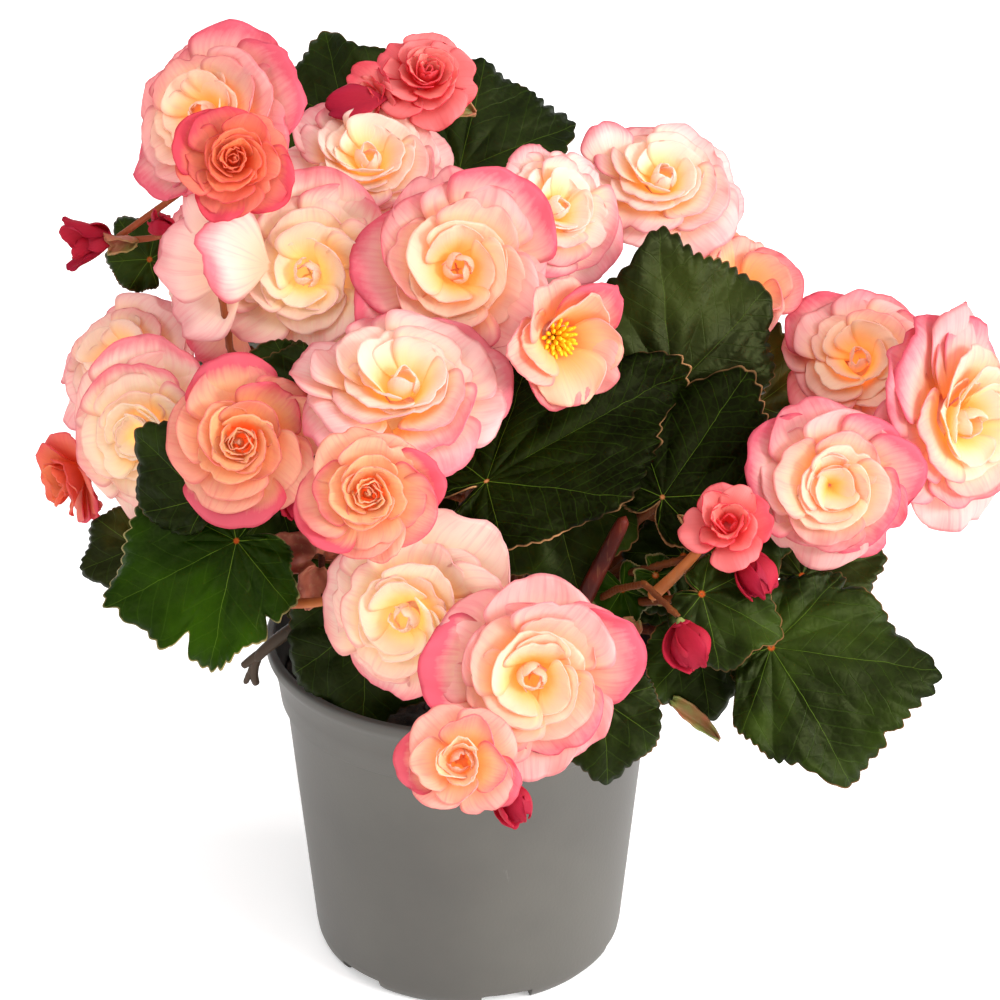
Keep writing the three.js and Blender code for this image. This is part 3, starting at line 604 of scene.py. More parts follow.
# %% [markdown]
# ## Leaf blades
#
# Each leaf is a lopsided heart: lobes, small rounded teeth, a cleft behind the stalk, and veins that spread
# like fingers from one orange-red point. Between the veins the blade puffs up. A flat grid is wrapped round
# that point, one way of the grid going round and the other going outwards, so the teeth and veins follow
# from two numbers per point. Both numbers are kept as a UV map, and the veins' colour is drawn from them.

# %% Leaf skin
LEAF_SHEEN = (0.8, 0.95, 0.35, 1.0)     # the wax on a leaf reflects a little green
LEAF_THROUGH, PETAL_THROUGH, BRACT_THROUGH = 0.04, 0.5, 0.2     # share of light that comes through a blade


def leaf_skin(name, deep, bright, rim_colour, vein=1.0, rim=0.55, gloss=0.1):
    finish = Finish(name)
    place = finish.place()
    _, share = finish.map("UVMap")
    lobe, reach = finish.map("veins")
    clouds = finish.noise(place, 38.0, 4.0)
    freckles = finish.noise(place, 700.0, 2.0)
    sway = (finish.noise(place, 70.0, 3.0) - 0.5) * 0.35
    offset = ((lobe + sway * 0.3).fraction() - 0.5).absolute()
    main = 1 - (offset * reach).step(0.02, 0.13)
    side_run = (reach * (1 - 0.9 * offset) * 0.17 + sway).fraction() - 0.5
    side = (1 - side_run.absolute().step(0.01, 0.06)) * reach.step(3.0, 8.0)
    edges = {"feature": "DISTANCE_TO_EDGE"}
    cells = finish.node("ShaderNodeTexVoronoi", edges, {"Vector": place, "Scale": 330.0})
    net = 1 - cells.step(0.02, 0.14)
    colour = finish.mix(clouds.step(0.4, 0.75), deep, bright)
    colour = finish.mix(net * 0.06 * vein, colour, rgb(44, 68, 10))
    colour = finish.mix(side * 0.1 * vein, colour, rgb(66, 96, 16))
    colour = finish.mix(main * (0.7 - 0.5 * share) * vein, colour, rgb(104, 134, 40))
    colour = finish.mix(1 - (reach + 3 * sway).step(0.5, 1.3), colour, rgb(170, 70, 26))
    to_edge = reach * (1 - share)
    edge = (1 - to_edge.step(0.2 * rim, rim)) * clouds.step(0.38, 0.6)
    colour = finish.mix(edge, colour, rim_colour)
    height = cells.step(0.0, 0.3) * 0.3 - main * 0.5 - side * 0.5 + freckles * 0.2
    roughness = 0.28 + 0.2 * clouds + 0.1 * freckles
    normal = finish.bump(height, 0.3, 0.0006)
    finish.finish(colour, roughness, normal, Specular_IOR_Level=gloss, Specular_Tint=LEAF_SHEEN)
    finish.let_light_through(bright, LEAF_THROUGH)
    return finish.material


BROWN_RIM, PALE_RIM, DRY_RIM = rgb(116, 78, 48), rgb(150, 134, 88), rgb(176, 128, 86)
LEAF_SKINS = {
    "dark": leaf_skin("leaf_dark", rgb(15, 21, 4), rgb(40, 54, 10), BROWN_RIM),
    "green": leaf_skin("leaf_green", rgb(14, 32, 0), rgb(34, 61, 0), PALE_RIM, 1.1, rim=0.8),
    "brown": leaf_skin("leaf_brown", rgb(20, 22, 4), rgb(66, 56, 12), BROWN_RIM, 0.8),
    "grey": leaf_skin("leaf_grey", rgb(14, 16, 3), rgb(32, 38, 6), BROWN_RIM, 0.6, gloss=0.16),
    # The rimmed leaves' near-black base colours are painted shade, for leaves in the plant's shaded middle;
    # their dry rim is their own.
    "rimmed": leaf_skin("leaf_rimmed", rgb(6, 7, 1), rgb(19, 26, 2), DRY_RIM, 1.0, rim=1.0, gloss=0.04),
}
LEAF_UNDER = leaf_skin("leaf_underside", rgb(36, 40, 16), rgb(58, 54, 24), BROWN_RIM, 0.9)
print("leaf finishes:", len(LEAF_SKINS) + 1)

# %% Where the leaves are
# `at` is the stalk's end, `tip` and `face` are where the tip and the upper side look, `back` and `side`
# shape the heart, and `width` narrows the whole leaf.
LEAF_FIELDS = ("at", "tip", "face", "length", "back", "side", "droop", "wave", "skin", "waves", "width")
LEAF_USUAL = {"skin": "dark", "waves": 5, "width": 1}
LEAVES = {  # places in mm
    "leaf_top_left": ([-39, 92, 252], [-0.25, 0.2, 0.95], [-0.1, -0.85, 0.5], 29, 0.7, 0, 0.15, 0.08),
    "leaf_top_right": ([-2, 92, 234], [0.85, 0.2, 0.35], [0.05, -0.8, 0.6], 40, 0.5, -0.15, 0.2, 0.1,
                       "dark", 4),
    "leaf_left_small": ([-102, 58, 218], [-0.65, 0.1, 0.75], [-0.2, -0.85, 0.5], 17, 0.6, 0, 0.2, 0.06),
    "leaf_centre_gap": ([-51, -18, 207], [-0.75, -0.1, -0.6], [0.1, -0.85, 0.5], 24, 0.6, 0.1, 0.1, 0.05),
    "leaf_left_round": ([-79, -47, 186], [-0.75, -0.1, 0.6], [-0.3, -0.85, 0.4], 29, 0.25, 0.1, 0.12, 0.05),
    "leaf_left_large": ([-70, -50, 173], [-0.85, -0.1, -0.45], [-0.15, -0.75, 0.6], 43, 0.38, -0.1, 0.1,
                        0.06, "green"),
    "leaf_left_low": ([-103, -20, 155], [-0.85, 0.05, -0.4], [-0.3, -0.8, 0.5], 20, 0.5, 0, 0.15, 0.05,
                      "brown"),
    "leaf_centre_large": ([6, -48, 192], [0.8, 0.2, 0.55], [0.1, -0.65, 0.75], 72, 0.3, -0.1, 0.08, 0.05,
                          "rimmed", 6, 0.62),
    "leaf_right_upper": ([64, -4, 201], [-0.02, 0.12, 0.98], [0.25, -0.9, 0.3], 46, 0.45, 0.1, 0.12, 0.07,
                         "grey"),
    "leaf_right_behind": ([93, 31, 178], [0.2, 0.1, 0.98], [0.3, -0.85, 0.2], 27, 0.4, 0, 0.12, 0.06,
                          "brown"),
    "leaf_right_mid": ([60, -36, 180], [0.55, 0.2, 0.8], [0.1, -0.75, 0.6], 46, 0.27, 0.15, 0.12, 0.08,
                       "rimmed", 6),
    "leaf_centre_low": ([26, -30, 180], [0.25, -0.35, -0.9], [0, -0.85, 0.5], 32, 0.7, 0, 0.12, 0.07),
    "leaf_inner": ([38, 22, 182], [0.35, -0.2, -0.9], [0.05, -0.85, 0.5], 40, 0.6, 0, 0.12, 0.06),
    "leaf_right_low": ([71, -63, 161], [0.85, -0.1, -0.45], [0.1, -0.75, 0.65], 26, 0.35, 0.1, 0.15, 0.08),
    "leaf_right_large": ([93, -59, 140], [0.97, -0.05, -0.1], [0.1, -0.75, 0.65], 49, 0.24, 0.2, 0.15, 0.07),
    "leaf_right_back": ([106, -14, 140], [0.9, 0.1, 0.35], [0.1, -0.65, 0.75], 27, 0.5, 0, 0.2, 0.06, "grey"),
    "leaf_front_low": ([41, -82, 135], [0.05, -0.35, -0.93], [0.05, -0.9, 0.4], 24, 0.55, 0, 0.15, 0.08),
    "leaf_front_right": ([71, -52, 138], [0.15, -0.3, -0.93], [0.1, -0.9, 0.4], 24, 0.5, 0, 0.15, 0.07),
    "leaf_pot_left": ([-31, -38, 138], [-0.05, -0.35, -0.93], [-0.2, -0.9, 0.4], 33, 0.7, 0, 0.1, 0.05),
    "leaf_back_left": ([-72, 66, 184], [-0.75, 0.55, -0.35], [-0.3, 0.5, 0.8], 46, 0.4, 0.1, 0.2, 0.08,
                       "green"),
    "leaf_back": ([-4, 90, 172], [0, 0.9, -0.4], [0, 0.45, 0.9], 52, 0.45, -0.1, 0.2, 0.08),
    "leaf_back_right": ([62, 72, 165], [0.6, 0.7, -0.4], [0.3, 0.5, 0.8], 52, 0.5, 0.1, 0.2, 0.08),
    "leaf_back_low": ([32, 72, 136], [0.25, 0.85, -0.45], [0.1, 0.5, 0.85], 44, 0.35, 0, 0.2, 0.08, "green"),
    # Young leaves deep in the plant, which only close the gaps between the others.
    "young_leaf_left": ([-50, -14, 152], [-0.2, -0.3, -0.9], [0, -0.85, 0.5], 22, 0.8, 0, 0.15, 0.1),
    "young_leaf_centre": ([-8, 6, 172], [0.3, -0.3, -0.9], [0, -0.85, 0.5], 30, 0.7, 0, 0.12, 0.1),
    "young_leaf_right": ([52, 0, 150], [0.3, -0.3, -0.9], [0, -0.85, 0.5], 30, 0.8, 0, 0.12, 0.1),
    "young_leaf_gap": ([-46, -30, 212], [-0.2, 0, -0.95], [0, -0.85, 0.5], 24, 0.8, 0, 0.12, 0.1),
    "young_leaf_coral": ([67.3, -28, 155.0], [0.1, -0.1, -0.95], [0.1, -0.85, 0.5], 22, 0.8, 0, 0.12, 0.1),
    "young_leaf_edge": ([-59, -18, 172], [-0.5, -0.1, -0.85], [0, -0.85, 0.5], 19, 0.8, 0, 0.12, 0.1),
    "young_leaf_back": ([88, -14, 158], [0.35, -0.1, -0.92], [0.1, -0.85, 0.5], 18, 0.8, 0, 0.12, 0.1),
    "young_leaf_small": ([48, -40, 150], [0.3, -0.3, -0.9], [0.1, -0.85, 0.5], 11, 0.9, 0, 0.2, 0.14,
                         "green"),
    "young_leaf_tiny": ([58, -42, 156], [0.7, -0.2, -0.6], [0.1, -0.85, 0.5], 8, 0.9, 0, 0.2, 0.14, "green"),
}
print("leaves:", len(LEAVES))

# %% [markdown]
# ## The form of a blade
#
# The outline goes out from the stalk: a heart, cut by a cleft behind the stalk, with shallow lobes and a
# few torn spots. Two rows of teeth sit on it, small ones on large ones, and the rim bends down here and
# there. The surface droops, waves, puffs up between the veins and crinkles.

# %% Teeth and torn spots
TOOTH = 0.028           # of the large teeth, as a share of the leaf's reach
LARGE_LEAF = 36         # mm; a longer leaf has more large teeth
MANY_TEETH, FEW_TEETH = 13, 9
SMALL_TEETH = 5         # on every large one
SMALL_TOOTH = 0.017
LOBES, LOBE_DEPTH = 7, 0.045
CLEFT_DEPTH, CLEFT_WIDTH = 0.75, 0.3
BITES = {  # torn spots along a leaf's edge: angle from its tip and width in radians, and depth
    "leaf_left_large": [
        (0.92, 0.06, 0.16), (1.02, 0.03, 0.12), (-0.62, 0.05, 0.2), (-0.05, 0.04, 0.08), (-1.5, 0.06, 0.2),
    ],
    "leaf_right_mid": [(0.4, 0.05, 0.12)],
    "leaf_centre_large": [(-0.45, 0.12, 0.1)],
    "leaf_right_large": [(-0.8, 0.05, 0.12), (0.5, 0.04, 0.07)],
}
BLADE = 0.45 * MM
PUFF = 0.9 * MM         # how far the blade puffs up between two veins


def leaf_reach(leaf, angle):
    cleft = 1 - CLEFT_DEPTH * np.exp(-(((math.pi - np.abs(angle)) / CLEFT_WIDTH) ** 2))
    heart = 0.93 - (1 - leaf["back"]) * (1 - np.cos(angle)) / 2 + 0.07 * np.exp(-((angle / 0.3) ** 2))
    lobes = 1 + LOBE_DEPTH * np.cos(LOBES * angle)
    for where, width, depth in BITES.get(leaf["name"], []):
        lobes -= depth * np.exp(-(((angle - where) / width) ** 2))
    return leaf["length"] * heart * cleft * (1 + leaf["side"] * np.sin(angle)) * lobes


print("leaves with torn spots:", len(BITES))


# %% The surface of a blade
def leaf_points(leaf, angle, share, teeth):
    """The blade in its own frame, in mm: +Y to the tip, +Z the upper face, the stalk at the origin."""
    reach = leaf_reach(leaf, angle) * share
    out = reach / leaf["length"]
    lobe = (math.pi - angle) * teeth / (2 * math.pi)
    large = -np.cos(2 * math.pi * lobe)
    edge = np.clip(2 * np.abs((math.pi - np.abs(angle)) / 0.35), 0, 1)
    phase = (leaf["at"][0] + leaf["at"][2]) % 6.28
    saw = (lobe * SMALL_TEETH + 0.4 * np.sin(5.1 * angle + phase)) % 1
    small = 1 - 2 * np.abs(2 * saw - 1) ** 1.4
    uneven = 1 + 0.7 * np.sin(3.7 * angle + phase) * np.sin(8.3 * angle)
    spread = 1 + share**6 * edge * (TOOTH * large + SMALL_TOOTH * small * uneven)
    spread += 0.03 * share**2 * edge * np.sin(3 * angle + 2 * phase) * np.sin(5 * angle + phase)
    lift = leaf["wave"] * out**3 * np.sin(leaf["waves"] * angle + phase) - leaf["droop"] * out * out
    between = np.abs(np.cos(math.pi * lobe))
    puff = PUFF / MM * between * np.clip(reach / 14, 0, 1)
    crinkle = 0.9 * share * np.sin(5.3 * lobe + phase) * np.sin(3.1 * share * leaf["length"] / 9 + phase)
    crinkle += 1.6 * share**3 * edge * np.sin(11 * angle + 3 * phase) * leaf["length"] / 60
    x = leaf["width"] * reach * np.sin(angle) * spread
    y = reach * np.cos(angle) * spread
    z = leaf["length"] * lift + puff + crinkle
    rim = np.clip((share - 0.93) / 0.07, 0, 1)
    z -= 0.8 * rim * np.abs(np.sin(2.5 * lobe + phase))
    return np.stack([x, y, z], 1), lobe, reach


print("the blade puffs up by", PUFF, "m")


# %% Growing the leaves
LEAF_GRID = (384, 13)       # points round the leaf, and from its stalk out
TOWARDS_RIM = 0.85          # below 1, rows lie closer together near the rim


def add_map(mesh, name, first, second):
    """A second UV map, with a pair of numbers for each point."""
    layer = mesh.uv_layers.new(name=name)
    corners = np.empty(len(mesh.loops), np.int32)
    mesh.loops.foreach_get("vertex_index", corners)
    layer.data.foreach_set("uv", np.stack([first[corners], second[corners]], 1).astype(np.float32).ravel())


def build_leaf(name, grid):
    leaf = dict(LEAF_USUAL, name=name, **dict(zip(LEAF_FIELDS, LEAVES[name])))
    blade = copy_of(grid, name + "_blade")
    flat = read_points(grid.data)
    angle = flat[:, 0] * math.pi
    share = ((flat[:, 1] + 1) / 2) ** TOWARDS_RIM
    teeth = MANY_TEETH if leaf["length"] > LARGE_LEAF else FEW_TEETH
    points, lobe, reach = leaf_points(leaf, angle, share, teeth)
    add_map(blade.data, "veins", lobe * LOBES / teeth, reach)
    set_down(blade, points * MM, leaf["at"], leaf["face"], leaf["tip"])
    merge_points(blade, SAME_SEAM)
    as_sheet(blade, LEAF_SKINS[leaf["skin"]], LEAF_UNDER, BLADE)
    smooth(blade)
    hand_over(blade, "leaf", *solids(name))
    return len(blade.data.polygons)


leaf_grid = add_grid("leaf_grid", *LEAF_GRID)
leaf_faces = sum(build_leaf(name, leaf_grid) for name in LEAVES)
bpy.data.objects.remove(leaf_grid)
print("leaf faces:", leaf_faces)

# %% [markdown]
# ## Petals
#
# A petal starts narrow and spoon-like at the heart, widens fast, and ends in a broad soft rim that ruffles.
# It is yellow deep inside, cream or peach on the way out and pink along the rim, with fine lines running
# outwards. One grid is bent by the same curve that shaped the solid petals, only with many more points and
# with ruffles too small for a solid.

# %% Petal skin
PETAL_LINES = 0.34      # how strong the fine lines are
PAINTED_GLOW = 0.6      # a painted glow: warm emitted light that stands in for the light a thick flower scatters inside itself


def deep_rim(colour):
    """The rim's own colour, stronger, for the line along the very edge, which on the inner petals is painted
    shade.
    """
    return (colour[0] * 0.92, colour[1] * 0.6, colour[2] * 0.68, 1.0)


def petal_skin(name, heart, middle, outer, rim, rim_width, painted_glow):
    """Colours from the flower's heart to the rims of its outer petals. The map `layer` holds how deep in
    the flower a petal lies, from 0 outside to 1 inside, and how pink it is."""
    finish = Finish(name)
    place = finish.place()
    across, along = finish.map("UVMap")
    depth, pink = finish.map("layer")
    lines = finish.noise(finish.point(across * 26.0, along * 1.4, pink * 9.0), 1.0, 3.0, 0.6)
    clouds = finish.noise(place, 55.0, 3.0)
    mottled = finish.noise(place, 330.0, 3.0, 0.6)
    ragged = along + (clouds - 0.5) * 0.3 + (lines - 0.5) * 0.15
    side = (2 * (across - 0.5)).absolute()
    to_rim = ragged + 0.12 * side * side
    blade = finish.mix((depth + 0.3 * (pink - 0.5)).step(0.05, 0.55), outer, middle)
    root = finish.mix(depth.step(-0.6, 0.6), outer, heart)
    colour = finish.mix(ragged.step(0.15, 0.85), root, blade)
    outside = 1 - depth.step(0.1, 0.85)
    strength = (0.12 + 0.88 * outside) * (0.25 + 0.95 * pink)
    blush = to_rim.step(1 - rim_width * 2.2, 1.05) * strength * (0.7 + 0.6 * mottled)
    colour = finish.mix(blush, colour, rim)
    # The line along the very edge: the rim's own deeper pink on the outer petals, and a faint painted shade
    # on the inner petals.
    line = along.step(0.955, 0.995).math("MAXIMUM", side.step(0.9, 0.99) * along.step(0.3, 0.7))
    colour = finish.mix(line * (0.2 + 0.5 * outside) * (0.5 + 0.5 * pink), colour, deep_rim(rim))
    veins = lines.step(0.45, 0.8) * PETAL_LINES * (0.25 + outside) * (0.3 + 0.7 * along)
    colour = finish.mix(veins, colour, rim)
    normal = finish.bump(lines * 0.7 + clouds * 0.3, 0.45, 0.0007)
    # Painted glow: the roots and the deeper petals emit warm light, in place of light that comes through the
    # flower.
    inside = (1 - along.step(0.15, 0.8)) * (0.15 + 0.85 * depth)
    finish.plug(finish.shader.inputs["Emission Color"], finish.mix(inside, rgb(0, 0, 0), painted_glow))
    finish.finish(colour, 0.5 + 0.15 * clouds, normal, Specular_IOR_Level=0.25, Emission_Strength=PAINTED_GLOW)
    finish.let_light_through(colour, PETAL_THROUGH)
    return finish.material


print("petal light:", PETAL_THROUGH, PAINTED_GLOW)

# %% Petal colours
# Colours of the painted glow, the warm light that the petals emit.
IVORY_GLOW, YELLOW_GLOW, ORANGE_GLOW = (255, 206, 146), (246, 164, 94), (214, 116, 58)
CORAL_GLOW, RED_GLOW, BUD_GLOW = (180, 76, 34), (176, 36, 38), (30, 2, 4)
PETAL_COLOURS = {  # heart, middle, outer, rim, the rim's width, and the painted glow
    "ivory": ((255, 224, 140), (255, 242, 216), (255, 238, 220), (242, 150, 158), 0.12, IVORY_GLOW),
    "cream": ((255, 222, 136), (255, 240, 222), (255, 233, 224), (240, 142, 154), 0.15, YELLOW_GLOW),
    "peach": ((255, 212, 114), (255, 234, 206), (255, 218, 208), (236, 114, 134), 0.2, YELLOW_GLOW),
    "bowl": ((255, 196, 110), (255, 222, 178), (255, 214, 190), (236, 114, 130), 0.2, YELLOW_GLOW),
    "orange": ((254, 168, 84), (255, 222, 160), (255, 214, 174), (236, 108, 126), 0.2, ORANGE_GLOW),
    "coral": ((232, 84, 40), (250, 158, 102), (248, 156, 124), (232, 86, 104), 0.22, CORAL_GLOW),
    "red": ((240, 80, 76), (255, 172, 156), (255, 160, 156), (242, 100, 114), 0.3, RED_GLOW),
    "bud": ((190, 30, 50), (214, 50, 76), (208, 44, 72), (190, 30, 70), 0.3, BUD_GLOW),
}
BACK_COLOURS = {
    "ivory": ((255, 230, 170), (255, 240, 222), (255, 232, 220), (242, 160, 168), 0.2, IVORY_GLOW),
    "cream": ((255, 228, 166), (255, 238, 224), (255, 227, 220), (240, 152, 164), 0.22, YELLOW_GLOW),
    "peach": ((255, 220, 156), (255, 226, 202), (252, 206, 198), (234, 118, 140), 0.28, YELLOW_GLOW),
    "bowl": ((255, 214, 150), (255, 226, 204), (252, 208, 200), (234, 118, 138), 0.28, YELLOW_GLOW),
    "orange": ((254, 178, 116), (254, 204, 166), (250, 178, 166), (232, 104, 124), 0.28, ORANGE_GLOW),
    "coral": ((232, 92, 54), (246, 140, 104), (242, 124, 116), (226, 78, 98), 0.28, CORAL_GLOW),
    "red": ((228, 62, 70), (246, 94, 102), (242, 88, 104), (226, 62, 84), 0.3, RED_GLOW),
    "bud": ((176, 22, 42), (206, 40, 68), (200, 34, 64), (180, 24, 60), 0.3, BUD_GLOW),
}


def skin_of(name, row):
    *tints, rim_width, painted_glow = row
    return petal_skin(name, *(rgb(*tint) for tint in tints), rim_width, rgb(*painted_glow))


PETAL_SKINS = {
    kind: (skin_of("petal_" + kind, PETAL_COLOURS[kind]), skin_of("petal_back_" + kind, BACK_COLOURS[kind]))
    for kind in PETAL_COLOURS
}
PETAL_SLOTS = {"coral": "petal_coral", "orange": "petal_coral", "red": "petal_red", "bud": "petal_red"}
print("petal finishes:", 2 * len(PETAL_SKINS))

# %% Skins of bracts and stamens
def bract_skin(name, first, second):
    finish = Finish(name)
    place = finish.place()
    clouds = finish.noise(place, 90.0, 3.0)
    veins = finish.noise(place, 600.0, 2.0)
    colour = finish.mix(clouds.step(0.35, 0.65), first, second)
    colour = finish.mix(veins.step(0.5, 0.8) * 0.3, colour, rgb(196, 170, 110))
    finish.finish(colour, 0.5 + 0.1 * veins, finish.bump(veins, 0.3, 0.0004))
    finish.let_light_through(colour, BRACT_THROUGH)
    return finish.material


def pollen_skin():
    finish = Finish("pollen_skin")
    grain = finish.noise(finish.place(), 1500.0, 2.0)
    colour = finish.mix(grain.step(0.35, 0.65), rgb(250, 176, 0), rgb(255, 206, 20))
    return finish.finish(colour, 0.6 + 0.2 * grain, finish.bump(grain, 0.5, 0.0003))


BRACT_SKIN = bract_skin("bract_skin", rgb(128, 142, 70), rgb(176, 92, 66))
RED_BRACT_SKIN = bract_skin("bract_skin_red", rgb(140, 62, 44), rgb(190, 110, 84))
POLLEN_SKIN = pollen_skin()
print("finishes", BRACT_SKIN.name, RED_BRACT_SKIN.name, POLLEN_SKIN.name)

# %% [markdown]
# ## The layers of a flower
#
# A double begonia has its petals in rings: broad ones outside, narrower and more upright ones inside. Each
# ring is a few numbers: how many petals, how long and wide as a share of the flower, how far from the axis,
# and how far from upright they stand at the root and at the rim. The hearts differ, as they do on the
# plant: some are small closed balls, some are deep and open. Modelling each petal by hand would take
# hundreds of moves, and a formula with seeded chance gives the same variety each time.

# %% Three kinds of petal
OUTER = dict(root=0.06, petals=5, length=0.47, width=0.6, ring=0.084, rise=0.01, slant=12, wave=0.03, hug=0.9)
MIDDLE = dict(root=0.06, petals=4, length=0.34, width=0.46, ring=0.077, rise=0.06, slant=12, wave=0, hug=0.9)
INNER = dict(root=0.06, petals=3, length=0.24, width=0.26, ring=0.063, rise=0.11, slant=10, wave=0, hug=0.6)


def layer(kind, opens, **changes):
    """A layer of petals that bends from the first of `opens` at its root to the second at its rim."""
    return {**kind, "opens": opens, **changes}


print("an outer petal is", OUTER["length"], "of the flower's width long")

# %% The forms of flowers and buds
# The `layers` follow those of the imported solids, and the `filling` lies between and inside them.
FORMS = {
    "open": {
        "layers": [
            layer(OUTER, (62, 98)),
            layer(MIDDLE, (42, 76)),
            layer(INNER, (26, 50), width=0.34, rise=0.09),
        ],
        "filling": [
            layer(OUTER, (52, 84), petals=4, length=0.4, width=0.6, rise=0.03, turn=30, depth=0.25),
            layer(MIDDLE, (32, 60), length=0.3, ring=0.055, turn=20, depth=0.7),
            layer(INNER, (60, 18), length=0.21, width=0.32, ring=0.003, rise=0.09, turn=10, depth=1),
        ],
    },
    "rose": {
        "layers": [
            layer(OUTER, (56, 92), slant=15),
            layer(MIDDLE, (26, 54), slant=15),
            layer(INNER, (4, 10), length=0.28, width=0.18, slant=16),
        ],
        "filling": [
            layer(OUTER, (46, 80), petals=4, length=0.4, width=0.54, rise=0.03, turn=34, depth=0.3),
            layer(MIDDLE, (16, 38), petals=4, length=0.33, width=0.42, rise=0.07, turn=22, depth=0.6),
            layer(INNER, (6, 14), petals=3, length=0.31, width=0.3, rise=0.08, turn=50, depth=0.85),
            layer(INNER, (16, -10), length=0.28, width=0.24, ring=0.008, rise=0.07, turn=5, depth=1),
        ],
    },
    "small": {
        "layers": [
            layer(OUTER, (52, 88), petals=4, length=0.5, root=0.3),
            layer(INNER, (10, 26), rise=0.06, ring=0.09, length=0.4, width=0.36, slant=16, root=0.4),
        ],
        "filling": [
            layer(OUTER, (34, 62), petals=4, length=0.45, width=0.5, rise=0.03, turn=40, depth=0.4),
            layer(MIDDLE, (14, 30), petals=3, length=0.4, width=0.4, rise=0.05, turn=10, depth=0.7, root=0.4),
            layer(INNER, (60, -44), petals=3, length=0.34, width=0.26, ring=0.02, rise=0.05, turn=70, depth=1,
                  hug=1.0),
        ],
    },
    "bowl": {
        "layers": [
            layer(OUTER, (30, 62), slant=14, length=0.58, width=0.58),
            layer(INNER, (5, 30), rise=0.06, length=0.14, width=0.08),
        ],
        "filling": [
            layer(OUTER, (24, 52), petals=4, length=0.5, width=0.5, rise=0.03, turn=36, depth=0.5),
        ],
    },
    "beak": {  # a bud that starts to open
        "layers": [
            layer(INNER, (46, 2), petals=2, length=1.0, width=0.66, ring=0.05, rise=-0.04, slant=4, hug=1.5),
        ],
        "filling": [
            layer(INNER, (64, -62), length=0.7, width=0.6, ring=0.04, rise=-0.02, slant=20, turn=60,
                  depth=0.6),
            layer(INNER, (42, 0), petals=2, length=0.8, width=0.5, ring=0.04, turn=80, depth=0.6, hug=1.5),
        ],
    },
    "bud": {
        "layers": [layer(INNER, (64, -62), length=1.08, width=0.78, ring=0.05, rise=-0.04, slant=20)],
        "filling": [
            layer(INNER, (60, -58), length=0.98, width=0.7, ring=0.04, rise=0, slant=20, turn=60, depth=0.6),
        ],
    },
}
print("forms:", *FORMS)

